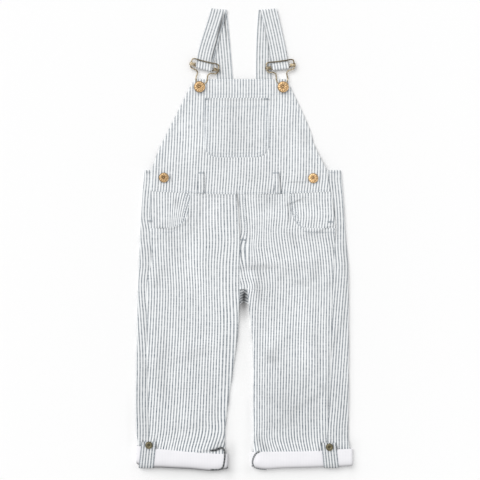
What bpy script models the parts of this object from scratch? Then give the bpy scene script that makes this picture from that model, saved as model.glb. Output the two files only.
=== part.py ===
"""Small child's bib overalls, laid flat on their back with the bib and straps stretched upwards.

The cloth is drawn in millimetres in the garment's own plan: x runs across it, with the viewer's right
positive, and height runs up it from the lowest cuff edge. z is the distance from the surface that it
lies on. The back panels lie flat on that surface and turn round both side edges to the front, where
the front panels lie over them. Each sheet is a grid of points worked out from the section tables
below, closed by a second grid one cloth thickness inside it.
"""

import math

import bmesh
import bpy
import numpy as np

MM = 0.001

# Cloth and layers
CLOTH = 1.1  # thickness of every cloth wall
SEAM = 0.3  # gap between two pieces that meet
LAYER = CLOTH + SEAM  # what each further layer adds to a stack
EDGE = 4.2  # outer height of the rounded side edges, where the back turns to the front
FRONT = EDGE + SEAM  # underside of a front panel where it lies on the turned back
SHOULDER = 692.6  # height of the middle of each shoulder fold
ORIGIN = (-0.15, 347.3)  # x and height of the middle of the whole garment, which is the part's origin

# Waist, crotch and side openings
WAIST = 414.0  # height of the waist seam at the middle
WAIST_RISE = 5.2  # how much higher it is at the sides
HALF_WAIST = 140.0
BACK_WAIST = 450.5  # height of the back's top edge, seen at both sides
FRONT_CROTCH = 272.0
BACK_CROTCH = 251.0
VENT_END = 374.0  # height of the bar tack that ends each side opening
VENT_UNDERLAP = 29.0  # how far the back reaches under the front beside the opening
SEAM_UNDERLAP = 6.0  # and below it, as a seam allowance
CURL = 3.0  # width over which a front leg turns down at its inner edge

# Leg sections: height, side outline, side seam, inner edge
LEG_COLUMNS = ("height", "outline", "seam", "inner")
LEFT_LEG = (
    (0, -159.3, -142.0, -27.4),
    (36, -159.3, -142.3, -28.8),
    (42, -159.3, -142.3, -28.8),
    (50, -160.8, -142.5, -28.8),
    (60, -161.8, -142.7, -28.6),
    (80, -162.2, -143.3, -26.4),
    (105, -162.6, -143.7, -23.2),
    (155, -161.8, -145.0, -16.0),
    (205, -160.9, -145.7, -9.5),
    (250, -160.0, -145.7, -6.7),
    (290, -158.6, -144.0, -6.2),
    (310, -158.0, -139.4, -6.0),
    (330, -157.0, -138.8, -6.0),
    (372, -155.2, -140.3, -7.3),
    (412, -152.7, -139.8, -10.5),
    (452, -149.4, -137.5, -11.0),
)
RIGHT_LEG = (
    (0, 160.4, 123.0, 12.8),
    (20, 160.4, 123.2, 13.0),
    (46, 156.9, 124.0, 14.6),
    (80, 157.0, 127.2, 14.4),
    (115, 157.3, 128.6, 14.2),
    (160, 157.4, 129.7, 14.2),
    (205, 157.4, 130.9, 11.8),
    (250, 157.4, 132.2, 6.7),
    (272, 157.3, 132.8, 5.2),
    (310, 156.5, 134.4, 5.0),
    (345, 153.5, 136.0, 5.0),
    (375, 151.2, 136.8, 5.0),
    (394, 150.1, 133.5, 5.0),
    (425, 147.6, 128.6, 5.0),
    (452, 144.9, 122.9, 5.0),
)
# Heights of the rows of points in a leg, between its hem and the pocket's mouth
LEG_ROWS = (
    30, 46, 58, 76, 96, 116, 140, 165, 190, 215, 236,
    249, 253, 263, 269, 275, 284, 298, 316, 336, 358, 386, 402.5,
)
HEM = 11.0  # height at which a leg's width is read for its hem, inside the cuff

# Centre front seam: height, x
CENTRE_COLUMNS = ("height", "seam")
CENTRE_FRONT = ((270, -5.7), (310, -6.0), (347, -6.3), (382, -8.0), (416, -10.6))

# Bib sections: height, left edge, right edge
BIB_COLUMNS = ("height", "left", "right")
BIB = (
    (414, -139.8, 130.2),
    (430, -139.0, 127.6),
    (453, -137.4, 122.6),
    (466, -133.5, 116.0),
    (484, -127.0, 107.4),
    (493, -122.5, 103.6),
    (502, -118.0, 102.0),
    (520, -109.0, 95.4),
    (547, -95.5, 83.4),
    (565, -86.5, 74.4),
    (579, -79.0, 67.6),
    (587.2, -73.5, 62.5),
)
BIB_TOP = 587.2
BIB_LOW = 1.0  # underside of the bib along its slanted edges
BIB_CROWN = 2.3  # how much higher it lies over the back bib and the straps

# Back bib, hidden under the front: height, left edge, right edge
BACK_BIB = (
    (450.8, -98.0, 98.0),
    (462, -76.0, 78.0),
    (480, -56.0, 60.0),
    (500, -45.0, 49.0),
    (522, -40.0, 45.0),
)

# Cuff edges: x, upper edge, lower edge (heights)
CUFF_COLUMNS = ("x", "top", "bottom")
LEFT_CUFF = (
    (-161.6, 37.7, 10.4),
    (-150.0, 36.0, 6.8),
    (-120.0, 32.0, 4.8),
    (-80.0, 28.2, 2.7),
    (-43.0, 25.9, 0.3),
    (-24.2, 25.2, 3.2),
)
RIGHT_CUFF = (
    (10.9, 28.4, 5.8),
    (28.6, 28.6, 2.8),
    (60.0, 29.0, 4.0),
    (115.0, 30.1, 5.4),
    (141.0, 32.3, 6.2),
    (162.6, 32.9, 7.5),
)
CUFF_DEPTH = 2 * EDGE  # outer height of a turned-up cuff, floor to top
CUFF_FOLD = CLOTH + SEAM / 2  # outer radius of the fold along a cuff's lower edge
CUFF_INSIDE = 10.0  # how far the inner wall goes up inside before the leg panels begin
HEM_GAP = 0.8  # between that wall and the leg panels
END_INSET = 1.6  # how much shorter the back of a leg is inside the cuff's rounded end
RAMP = 14.0  # length over which the leg climbs onto its cuff

# Pockets
SCOOPS = {"left": (59.0, 56.0, 3.8), "right": (63.0, 55.0, 6.0)}  # width, depth, squareness
MOUTH_MARGIN = 5.0  # how far a facing reaches under the edge of a pocket mouth
MOUTH_LIFT = 12.0  # a leg lies one layer higher this near the mouth, over the facing
MOUTH_SLOPE = 9.0  # and comes down over this width
CHEST_POCKET = {"left": -59.4, "right": 37.7, "top": 558.8, "bottom": 469.6}
CHEST_CORNER = (21.0, 17.0)  # width and height of its rounded lower corners

# Largest folds of the front: x, height, length, width, lean in degrees from upright, rise (troughs < 0)
FOLD_COLUMNS = ("x", "height", "length", "width", "lean", "rise")
FOLDS = (
    (18, 303, 34, 8, -66, -1.3),
    (12, 287, 40, 7, -8, 1.6),
    (32, 282, 60, 9, -20, -1.1),
    (74, 298, 48, 10, 62, -1.2),
    (112, 305, 40, 9, 20, -1.1),
    (116, 170, 90, 11, -14, -1.3),
    (95, 205, 110, 13, -10, 1.2),
    (45, 176, 26, 11, 40, -1.5),
    (47, 200, 40, 12, 60, 1.3),
    (70, 100, 44, 8, -46, -1.2),
    (92, 98, 40, 8, 44, -1.2),
    (60, 70, 60, 10, 78, -0.9),
    (118, 96, 60, 8, 2, -1.2),
    (-100, 345, 74, 10, -16, -1.2),
    (-72, 300, 100, 15, -8, 1.2),
    (-122, 292, 34, 8, 40, -1.0),
    (-60, 190, 46, 11, 74, 1.0),
    (-78, 170, 60, 10, 66, -1.1),
    (-118, 140, 96, 12, 3, -1.3),
    (-45, 110, 90, 11, -9, -1.2),
    (-80, 62, 66, 9, 82, -0.9),
    (-76, 500, 70, 16, -38, 1.3),
    (-50, 470, 62, 10, -64, -1.0),
    (66, 505, 70, 10, 30, -1.1),
    (20, 440, 70, 12, 84, -0.7),
)
CALM_EDGE = 12.0  # folds fade out this near a side seam

# Hardware
STRAP_WIDTH = 24.0
WIRE = 1.0  # radius of the buckle wire
BAR = 0.9  # radius of the slider bar
FRAME_Z = 5.0  # height of the buckle's upper frame
SLIDER_AT = 28.5  # distance of the slider bar from the button
TOP_BAR_AT = 39.0
FRAME_HALF = 20.6  # from the buckle's axis to its side wires
COLLAR_AT = 31.0
COLLAR_LENGTH = 6.4
COLLAR_BORE = 1.45
COLLAR_RADIUS = 2.7
COLLAR_REACH = 4.2  # how far a collar's flattened windings reach towards the strap
SHANK = 2.2  # radius of every button's shank
HIP_STEM = 0.5  # length of a hip button's shank
TAB_STEM = 0.4
BUTTON_HEIGHT = 3.0
STRAP_BUTTON = 8.5  # button radii
HIP_BUTTON = 7.5
TAB_BUTTON = 5.6
BUCKLES = {"left": (-66.8, 575.4, 13.8), "right": (58.5, 575.2, -7.3)}  # button x, height, lean to +x
SHOULDERS = {"left": (-37.6, -38.0), "right": (37.0, 33.5)}  # x of the front and the back of a strap's fold
STRAP_FEET = {"left": (-24.0, 508.0), "right": (32.5, 508.0)}
STRAP_TURN = 1.3  # mid radius of a strap's shoulder fold
STRAP_LEANS = {"left": (-0.06, -0.12), "right": (-0.054, 0.09)}  # slope of a back strap at its foot, at its fold
STRAP_BOWS = {"left": 0.2, "right": 0.0}  # how far a front strap bends before its slider, as a slope
STRAP_SETTLE = 0.75  # how far the front strap comes down off the fold
TAIL = (0.0, 4.0, 8.0, 12.0, 17.0, 22.0, 26.0)  # distances of the strap's tail from the slider bar
TAIL_DROPS = (1.5, 1.05)  # how far it drops before the buckle's top bar, and past it
HIP_BUTTONS = {"left": (-120.3, 439.2), "right": (103.6, 438.4)}
BELT_LOOPS = {"left": (-64.4, -64.4), "right": (51.2, 47.6)}  # x at the lower and the upper end
LOOP_SIZE = (9.5, 415.6, 447.4, 0.9)  # width, lower end, upper end, arch
# x at the fold and at the tip, tip height
TABS = {"left": (-146.6, -142.6, 43.5), "right": (130.4, 126.6, 42.0)}
TAB_WIDTH = 22.0
TAB_INSIDE = 9.2  # how far a tab goes up inside its cuff
TAB_RISE = 1.05  # how far its tip stands above the leg that it lies on
TAB_BUTTONS = {"left": (-142.4, 39.0), "right": (127.6, 36.2)}
FLY = (11.2, 346.0, 323.0)  # width, height of the bar tack, height of its point

# Colours: base colour, roughness, metallic
STRIPED = ((0.68, 0.72, 0.75), 0.85, 0.0)
WHITE = ((0.90, 0.90, 0.92), 0.85, 0.0)
BRASS = ((0.72, 0.50, 0.26), 0.35, 1.0)
BRONZE = ((0.24, 0.19, 0.12), 0.45, 1.0)


def columns(names, rows):
    """A section table as one array for each named column."""
    return dict(zip(names, np.array(rows, dtype=float).T))


LEGS = {"left": columns(LEG_COLUMNS, LEFT_LEG), "right": columns(LEG_COLUMNS, RIGHT_LEG)}
CENTRE_LINE = columns(CENTRE_COLUMNS, CENTRE_FRONT)
BIB_LINES = columns(BIB_COLUMNS, BIB)
BACK_BIB_LINES = columns(BIB_COLUMNS, BACK_BIB)
CUFFS = {"left": columns(CUFF_COLUMNS, LEFT_CUFF), "right": columns(CUFF_COLUMNS, RIGHT_CUFF)}
FOLD_LINES = columns(FOLD_COLUMNS, FOLDS)
INWARD = {"left": 1.0, "right": -1.0}


def read(table, name, at, key="height"):
    """A column of a table at any place along its key, on a smooth curve through its rows."""
    keys, values = table[key], table[name]
    slopes = np.gradient(values, keys)
    i = np.clip(np.searchsorted(keys, at) - 1, 0, len(keys) - 2)
    step = keys[i + 1] - keys[i]
    s = np.clip((at - keys[i]) / step, 0.0, 1.0)
    start = (1 + 2 * s) * (1 - s) ** 2 * values[i] + s * (1 - s) ** 2 * step * slopes[i]
    end = s * s * (3 - 2 * s) * values[i + 1] + s * s * (s - 1) * step * slopes[i + 1]
    return start + end


def ease(t):
    """A soft step from 0 to 1 as t goes from 0 to 1."""
    t = np.clip(t, 0.0, 1.0)
    return t * t * (3 - 2 * t)


def waist(x):
    return WAIST + WAIST_RISE * (x / HALF_WAIST) ** 2


def seam_x(side, height):
    return read(LEGS[side], "seam", height)


def inner_x(side, height):
    """Inner edge of a front leg: the centre seam above the crotch and the inner leg below it."""
    seam = read(CENTRE_LINE, "seam", height) - INWARD[side] * SEAM / 2
    return np.where(height > FRONT_CROTCH, seam, read(LEGS[side], "inner", height))


def cuff_edge(side, name, x):
    return read(CUFFS[side], name, x, key="x")


def climb(side, x, height):
    """How far a leg stands off the floor near its cuff, whose back lies under it."""
    above = height - cuff_edge(side, "top", x) - 2.0
    return LAYER * (1 - ease(above / RAMP))


def scoop(side, count):
    """The curve of a hip pocket's mouth, a superellipse from the side seam to the waist seam."""
    width, depth, squareness = SCOOPS[side]
    turn = np.linspace(math.pi / 2, 0.0, count)
    across = np.abs(np.cos(turn)) ** (2 / squareness)
    down = np.abs(np.sin(turn)) ** (2 / squareness)
    high = waist(seam_x(side, WAIST)) - SEAM / 2
    height = high - depth * down
    return seam_x(side, height) + INWARD[side] * width * across, height


def mouth_distance(side, x, height):
    """Distance of each point of a leg from its pocket's mouth."""
    mouth_x, mouth_height = scoop(side, 60)
    apart = np.hypot(x[..., None] - mouth_x, height[..., None] - mouth_height)
    return apart.min(axis=-1)


def underlap(height):
    """How far the turned back reaches under the front's edge: more beside the side opening."""
    beside_vent = ease((height - VENT_END + 4) / 8) * (1 - ease((height - BACK_WAIST) / 12))
    return SEAM_UNDERLAP + (VENT_UNDERLAP - SEAM_UNDERLAP) * beside_vent


def relief(x, height):
    """The largest folds: each is a bell across its line that fades towards both ends."""
    total = np.zeros_like(x)
    for i in range(len(FOLD_LINES["x"])):
        fold = {name: values[i] for name, values in FOLD_LINES.items()}
        lean = math.radians(fold["lean"])
        dx, dh = x - fold["x"], height - fold["height"]
        along = dx * math.sin(lean) + dh * math.cos(lean)
        across = dx * math.cos(lean) - dh * math.sin(lean)
        fade = np.exp(-((2 * along / fold["length"]) ** 4))
        total += fold["rise"] * fade * np.exp(-((across / fold["width"]) ** 2))
    left = np.where(height < WAIST, seam_x("left", height), read(BIB_LINES, "left", height))
    right = np.where(height < WAIST, seam_x("right", height), read(BIB_LINES, "right", height))
    hidden = underlap(height)
    calm = ease((x - left - hidden) / CALM_EDGE) * ease((right - hidden - x) / CALM_EDGE)
    return total * calm * ease((height - 46) / 16) * ease((BIB_TOP - height) / 20)


def front_under(x, height):
    """Underside of the front: level over the turned back, lower along the bib's slanted edges."""
    left, right = read(BIB_LINES, "left", height), read(BIB_LINES, "right", height)
    off_centre = np.abs(2 * x - left - right) / (right - left)
    bib = BIB_LOW + BIB_CROWN * (1 - np.clip(off_centre, 0, 1) ** 2)
    share = ease((height - BACK_WAIST - 5) / 48)
    return FRONT * (1 - share) + bib * share + relief(x, height)


def spot(x, height):
    """Top of the bib or a front leg at one place."""
    return float(front_under(np.array([x]), np.array([height]))[0]) + CLOTH


def new_object(name, verts, faces, finish):
    """A mesh object with its own material, its points moved from garment millimetres to metres."""
    verts = np.asarray(verts, dtype=float).reshape(-1, 3) - (*ORIGIN, 0.0)
    mesh = bpy.data.meshes.new(name)
    mesh.from_pydata((verts * MM).tolist(), [], faces)
    bm = bmesh.new()
    bm.from_mesh(mesh)
    bmesh.ops.remove_doubles(bm, verts=bm.verts, dist=0.02 * MM)
    bmesh.ops.recalc_face_normals(bm, faces=bm.faces)
    bm.to_mesh(mesh)
    bm.free()
    mesh.shade_smooth()
    mesh.set_sharp_from_angle(angle=math.radians(50))
    material = bpy.data.materials.new(name)
    material.use_nodes = True
    shader = material.node_tree.nodes["Principled BSDF"]
    colour, roughness, metallic = finish
    shader.inputs["Base Color"].default_value = (*colour, 1.0)
    shader.inputs["Roughness"].default_value = roughness
    shader.inputs["Metallic"].default_value = metallic
    mesh.materials.append(material)
    made = bpy.data.objects.new(name, mesh)
    bpy.context.scene.collection.objects.link(made)
    return made


def grid_faces(rows, cols, start=0, flip=False, wrap=False):
    """Quads of a grid of points numbered row by row from start."""
    faces = []
    for r in range(rows if wrap else rows - 1):
        for c in range(cols if wrap else cols - 1):
            r2, c2 = (r + 1) % rows, (c + 1) % cols
            quad = [start + a * cols + b for a, b in ((r, c), (r, c2), (r2, c2), (r2, c))]
            faces.append(quad[::-1] if flip else quad)
    return faces


def border(rows, cols):
    """Indices round the rim of a grid, in order."""
    bottom = [c for c in range(cols)]
    right = [r * cols + cols - 1 for r in range(1, rows)]
    top = [(rows - 1) * cols + c for c in range(cols - 2, -1, -1)]
    left = [r * cols for r in range(rows - 2, 0, -1)]
    return bottom + right + top + left


def normals(points):
    """Unit normals of a grid of points, from its neighbours both ways."""
    along = np.gradient(points, axis=0)
    across = np.gradient(points, axis=1)
    normal = np.cross(across, along)
    return normal / np.linalg.norm(normal, axis=2, keepdims=True)


def cloth(name, outer, finish=STRIPED, toward=None):
    """A closed cloth wall: a grid of outer points and the same grid one thickness inside it."""
    shift = normals(outer) * CLOTH if toward is None else np.array(toward) * CLOTH
    inner = outer - shift
    rows, cols = outer.shape[:2]
    faces = grid_faces(rows, cols) + grid_faces(rows, cols, start=rows * cols, flip=True)
    rim = border(rows, cols)
    for a, b in zip(rim, rim[1:] + rim[:1]):
        faces.append([b, a, a + rows * cols, b + rows * cols])
    return new_object(name, np.concatenate([outer.reshape(-1, 3), inner.reshape(-1, 3)]), faces, finish)


def stack(x, height, z):
    return np.stack(np.broadcast_arrays(x, height, z), axis=-1).astype(float)


def front_leg(side):
    """A front leg: its columns run from the hem to the pocket's mouth and the waist seam, and its last
    ones turn down at the inner edge below the crotch."""
    inward = INWARD[side]
    mouth_x, mouth_height = scoop(side, 11)
    inner_top = float(inner_x(side, np.array([WAIST]))[0]) - inward * CURL
    waist_x = np.linspace(mouth_x[-1], inner_top, 8)[1:]
    top_x = np.concatenate([mouth_x, waist_x])
    top_height = np.concatenate([mouth_height, waist(waist_x) - SEAM / 2])
    start = seam_x(side, top_height)
    end = inner_x(side, top_height) - inward * CURL
    top_share = (top_x - start) / (end - start)
    level_share = np.linspace(0, 1, len(top_x))

    hem_x = seam_x(side, HEM) + (read(LEGS[side], "inner", HEM) - seam_x(side, HEM)) * level_share
    hem = cuff_edge(side, "bottom", hem_x) + CUFF_INSIDE + HEM_GAP
    v = (np.array([hem[-1], *LEG_ROWS, WAIST])[:, None] - hem[-1]) / (WAIST - hem[-1])
    height = hem + (top_height - hem) * v
    share = level_share + (top_share - level_share) * ease((v - 0.5) / 0.5)
    edge = seam_x(side, height)
    x = edge + (inner_x(side, height) - inward * CURL - edge) * share

    turn = np.linspace(0, math.pi / 2, 5)[1:]
    row_height = height[:, -1:]
    fallen = (row_height < FRONT_CROTCH).astype(float)
    reach = turn / (math.pi / 2) * (1 - fallen) + np.sin(turn) * fallen
    curl_x = inner_x(side, row_height) - inward * CURL * (1 - reach)
    x = np.concatenate([x, curl_x], axis=1)
    height = np.concatenate([height, np.repeat(row_height, len(turn), axis=1)], axis=1)

    lift = LAYER * (1 - ease((mouth_distance(side, x, height) - MOUTH_LIFT) / MOUTH_SLOPE))
    up = climb(side, x, height)
    z = front_under(x, height) + CLOTH + up + lift
    drop = z[:, -len(turn) :] - (LAYER + up[:, -len(turn) :])
    z[:, -len(turn) :] -= fallen * drop * (1 - np.cos(turn))
    outer = stack(x, height, z)
    return cloth(f"front_leg_{side}", outer if side == "left" else outer[:, ::-1])


def back_leg(side):
    """A back leg: flat on the floor from the centre to the side edge, then turned round it and over
    the front as far as the side seam, or past it beside the side opening."""
    inward = INWARD[side]
    height = np.array([HEM, *LEG_ROWS, 425, BACK_WAIST])[:, None]
    flat = np.linspace(0, 1, 5)
    radius = EDGE / 2
    turn = np.linspace(0, math.pi, 8)

    centre = -inward * SEAM / 2
    inner = np.where(height > BACK_CROTCH, centre, read(LEGS[side], "inner", height))
    inner = inner - inward * END_INSET * climb(side, inner, height) / LAYER
    outline = read(LEGS[side], "outline", height)
    end = seam_x(side, height) + inward * underlap(height)
    bend = outline + inward * radius
    flat_x = inner + (bend - inner) * flat[:-1]
    turn_x = bend - inward * radius * np.sin(turn)
    over_x = bend + (end - bend) * np.array([0.35, 0.7, 1.0])
    x = np.concatenate([flat_x, turn_x, over_x], axis=1)
    z = np.concatenate([0 * flat[:-1], radius - radius * np.cos(turn), [EDGE] * 3])
    hem = cuff_edge(side, "bottom", x[0]) + CUFF_INSIDE + HEM_GAP
    height = np.repeat(height, x.shape[1], axis=1)
    height[0] = hem
    outer = stack(x, height, z + climb(side, x, height))
    return cloth(f"back_leg_{side}", outer if side == "left" else outer[:, ::-1])


def bib_grid(lines, bottom, top, rows, cols):
    """Plan points of a bib between two side edges, from a lower edge to a level upper one."""
    u = np.linspace(0, 1, cols)
    v = np.linspace(0, 1, rows)[:, None]
    low_x = read(lines, "left", bottom) * (1 - u) + read(lines, "right", bottom) * u
    low = waist(low_x) + SEAM / 2 if bottom == WAIST else np.full(cols, bottom)
    height = low + (top - low) * v
    left, right = read(lines, "left", height), read(lines, "right", height)
    return left + (right - left) * u, height


def front_bib():
    x, height = bib_grid(BIB_LINES, WAIST, BIB_TOP, 18, 16)
    return cloth("front_bib", stack(x, height, front_under(x, height) + CLOTH), toward=(0, 0, 1))


def back_bib():
    x, height = bib_grid(BACK_BIB_LINES, BACK_WAIST + SEAM, BACK_BIB[-1][0], 7, 9)
    return cloth("back_bib", stack(x, height, CLOTH), toward=(0, 0, 1))


def chest_pocket():
    """A patch on the bib, square above and with rounded lower corners."""
    corner_width, corner_height = CHEST_CORNER
    low, high = CHEST_POCKET["bottom"], CHEST_POCKET["top"]
    corner = low + corner_height * (1 - np.cos(np.linspace(0, math.pi / 2, 6)))
    height = np.concatenate([corner, np.linspace(corner[-1], high, 7)[1:]])[:, None]
    rise = np.clip((corner[-1] - height) / corner_height, 0, 1)
    inset = corner_width * (1 - np.sqrt(1 - rise**2))
    u = np.linspace(0, 1, 11)
    left, right = CHEST_POCKET["left"] + inset, CHEST_POCKET["right"] - inset
    x = left + (right - left) * u
    height = np.repeat(height, len(u), axis=1)
    z = front_under(x, height) + CLOTH + LAYER
    return cloth("chest_pocket", stack(x, height, z), toward=(0, 0, 1))


def pocket_facing(side):
    """The cloth that shows inside a hip pocket's mouth, and reaches a little way under its edge."""
    inward = INWARD[side]
    mouth_x, mouth_height = scoop(side, 13)
    bend = np.linspace(0, 1, len(mouth_x))
    x_low = mouth_x + inward * MOUTH_MARGIN * np.sin(bend * math.pi / 2)
    low = mouth_height - MOUTH_MARGIN * np.cos(bend * math.pi / 2)
    v = np.linspace(0, 1, 8)[:, None]
    near_side = (1 - bend) ** 2
    high = waist(x_low + (seam_x(side, WAIST) - seam_x(side, low)) * near_side) - SEAM / 2
    low = np.minimum(low, high - 1.5)
    height = low + (high - low) * v
    x = x_low + (seam_x(side, height) - seam_x(side, low)) * near_side
    z = front_under(x, height) + CLOTH
    return cloth(f"pocket_facing_{side}", stack(x, height, z), toward=(0, 0, 1))


def belt_loop(side):
    """A narrow strip over the waist, sewn down at both ends and standing off between them."""
    width, low, high, arch = LOOP_SIZE
    low_x, high_x = BELT_LOOPS[side]
    v = np.linspace(0, 1, 9)[:, None]
    height = low + (high - low) * v
    x = low_x + (high_x - low_x) * v + np.linspace(-width / 2, width / 2, 3)
    height = np.repeat(height, 3, axis=1)
    z = front_under(x, height) + CLOTH + LAYER + arch * np.sin(math.pi * v)
    return cloth(f"belt_loop_{side}", stack(x, height, z), toward=(0, 0, 1))


def fly_placket():
    """The strip beside the centre front seam, which ends in a point below its bar tack."""
    width, tack, point = FLY
    height = np.concatenate([np.linspace(point, tack, 5), np.linspace(tack, WAIST - 0.8, 7)[1:]])[:, None]
    seam = read(CENTRE_LINE, "seam", height) + SEAM / 2
    share = np.clip((height - point) / (tack - point), 0.18, 1)
    x = seam + width * share * np.linspace(0, 1, 4)
    height = np.repeat(height, 4, axis=1)
    z = front_under(x, height) + CLOTH + LAYER
    return cloth("fly_placket", stack(x, height, z), toward=(0, 0, 1))


def cuff(side):
    """A turned-up hem as a flattened ring: its outer wall shows the cloth's white inside, folds at the
    lower edge and goes up inside as far as the leg panels."""
    table = CUFFS[side]
    radius = CUFF_DEPTH / 2
    first, last = table["x"][0] + radius, table["x"][-1] - radius
    level = first + (last - first) * np.linspace(0, 1, 10)
    turn = np.linspace(-math.pi / 2, math.pi / 2, 8)[1:-1]
    middle = np.concatenate([level, last + 0 * turn, level[::-1], first + 0 * turn])
    out_x = np.concatenate([0 * level, np.cos(turn), 0 * level, -np.cos(turn)])
    out_z = np.concatenate([0 * level - 1, np.sin(turn), 0 * level + 1, -np.sin(turn)])
    x = middle + radius * out_x
    z = radius + radius * out_z

    fold = CUFF_FOLD
    bend = np.linspace(0, math.pi, 5)
    depth = [0.0, *(fold - fold * np.cos(bend)), 2 * fold, 2 * fold - CLOTH, 2 * fold - CLOTH, CLOTH, CLOTH]
    low = [0.0, *(fold - fold * np.sin(bend)), CUFF_INSIDE, CUFF_INSIDE, fold, fold, 0.0]
    at_top = [1.0, *(0 * bend), 0.0, 0.0, 0.0, 0.0, 1.0]
    depth, low, at_top = (np.array(values)[:, None] for values in (depth, low, at_top))
    x = x - depth * out_x
    height = at_top * cuff_edge(side, "top", x) + (1 - at_top) * (cuff_edge(side, "bottom", x) + low)
    points = stack(x, height, z - depth * out_z)
    faces = grid_faces(points.shape[0], points.shape[1], wrap=True)
    return new_object(f"cuff_{side}", points, faces, WHITE)


def ribbon(name, path, widths, half_width, finish=STRIPED):
    """A flat strip of cloth along a path of points, with its width along the given directions."""
    path, widths = np.asarray(path, dtype=float), np.asarray(widths, dtype=float)
    widths = widths / np.linalg.norm(widths, axis=1, keepdims=True)
    tangent = np.gradient(path, axis=0)
    up = np.cross(tangent, widths)
    up /= np.linalg.norm(up, axis=1, keepdims=True)
    across = np.linspace(-half_width, half_width, 3)[:, None]
    middle = path[:, None, :] + widths[:, None, :] * across
    outer = middle + up[:, None, :] * CLOTH / 2
    inner = middle - up[:, None, :] * CLOTH / 2
    rows, cols = outer.shape[:2]
    faces = grid_faces(rows, cols, flip=True) + grid_faces(rows, cols, start=rows * cols)
    rim = border(rows, cols)
    for a, b in zip(rim, rim[1:] + rim[:1]):
        faces.append([a, b, b + rows * cols, a + rows * cols])
    return new_object(name, np.concatenate([outer.reshape(-1, 3), inner.reshape(-1, 3)]), faces, finish)


def buckle_frame(side):
    """Button place, and the unit directions up and across the buckle, in plan."""
    x, height, lean = BUCKLES[side]
    lean = math.radians(lean)
    up = np.array([math.sin(lean), math.cos(lean)])
    return np.array([x, height]), up, np.array([up[1], -up[0]])


def buckle_z(side, up):
    """Height of the buckle's wire: on the bib at the button, on its raised frame further up."""
    x, height, _ = BUCKLES[side]
    low = spot(x, height) + SEAM + WIRE
    return low + (FRAME_Z - low) * ease((np.asarray(up) - 9) / 14)


def curve_between(start, end, leave, arrive, t):
    """A cubic from start to end with given directions at both, at each t."""
    start, end, leave, arrive = (np.asarray(v, dtype=float) for v in (start, end, leave, arrive))
    size = np.linalg.norm(end - start)
    t = np.asarray(t)[:, None]
    one = (1 + 2 * t) * (1 - t) ** 2 * start + t * (1 - t) ** 2 * size * leave
    two = t * t * (3 - 2 * t) * end + t * t * (t - 1) * size * arrive
    return one + two


def strap(side):
    """A strap from the back bib, up along the floor to the shoulder fold, down under the buckle's top bar,
    round the slider bar and back up behind itself."""
    button, up, across = buckle_frame(side)
    front_x, back_x = SHOULDERS[side]
    foot = np.array(STRAP_FEET[side])
    crown = SHOULDER - STRAP_TURN - CLOTH / 2
    leave, arrive = STRAP_LEANS[side]

    behind = curve_between(foot, (back_x, crown), (leave, 1), (arrive, 1), np.linspace(0, 1, 10))
    behind_z = CLOTH / 2 + LAYER * (1 - ease((behind[:, 1] - BACK_BIB[-1][0] - 2) / 16))
    turn = np.linspace(0, math.pi, 8)[1:-1]
    fold_x = back_x + (front_x - back_x) * turn / math.pi
    fold_height = crown + STRAP_TURN * np.sin(turn)
    fold_z = CLOTH / 2 + STRAP_TURN * (1 - np.cos(turn))

    slider = button + up * SLIDER_AT
    down = (STRAP_BOWS[side], 0.0) - up
    front = curve_between((front_x, crown), slider, (-INWARD[side] * 0.24, -0.97), down, np.linspace(0, 1, 17))
    away = np.linalg.norm(front - slider, axis=1)
    rest_z = CLOTH / 2 + 2 * STRAP_TURN - STRAP_SETTLE * ease((away[0] - away) / 40)
    bar_gap = TOP_BAR_AT - SLIDER_AT
    under_bar = FRAME_Z - WIRE - SEAM - CLOTH / 2
    round_bar = BAR + SEAM + CLOTH / 2
    share = ease((away - bar_gap) / 24)
    front_z = under_bar + (rest_z - under_bar) * share
    near = 1 - ease((away - 0.6) / (bar_gap - 2.4))
    front_z = front_z + (FRAME_Z + round_bar - front_z) * near

    loop = np.linspace(0, math.pi, 8)[1:-1]
    loop_plan = slider - np.sin(loop)[:, None] * round_bar * up
    loop_z = FRAME_Z + round_bar * np.cos(loop)
    home = np.array(TAIL)
    home_plan = slider + home[:, None] * up
    dropped = TAIL_DROPS[0] * ease(home / bar_gap) + TAIL_DROPS[1] * ease((home - bar_gap) / 14)
    home_z = FRAME_Z - round_bar - dropped

    plan = np.concatenate([behind, np.stack([fold_x, fold_height], axis=1), front, loop_plan, home_plan])
    z = np.concatenate([behind_z, fold_z, front_z, loop_z, home_z])
    path = np.column_stack([plan, z])
    steps = np.gradient(plan, axis=0)
    right = np.stack([steps[:, 1], -steps[:, 0]], axis=1)
    right /= np.maximum(np.linalg.norm(right, axis=1, keepdims=True), 1e-6)
    right *= np.where(right[:, :1] < 0, -1, 1)
    folds = slice(len(behind), len(behind) + len(turn))
    blend = (turn / math.pi)[:, None]
    right[folds] = right[len(behind) - 2] * (1 - blend) + right[len(behind) + len(turn) + 1] * blend
    right[len(behind) - 1] = right[len(behind) - 2]
    right[len(behind) + len(turn)] = right[len(behind) + len(turn) + 1]
    fronts = slice(len(behind) + len(turn), len(behind) + len(turn) + len(front))
    level = ease((away - bar_gap - 2) / 20)[:, None]
    right[fronts] = across * (1 - level) + right[fronts] * level
    right[len(behind) + len(turn) + len(front) - 1 :] = across
    widths = np.column_stack([right, np.zeros(len(right))])
    return ribbon(f"strap_{side}", path, widths, STRAP_WIDTH / 2)


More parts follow.
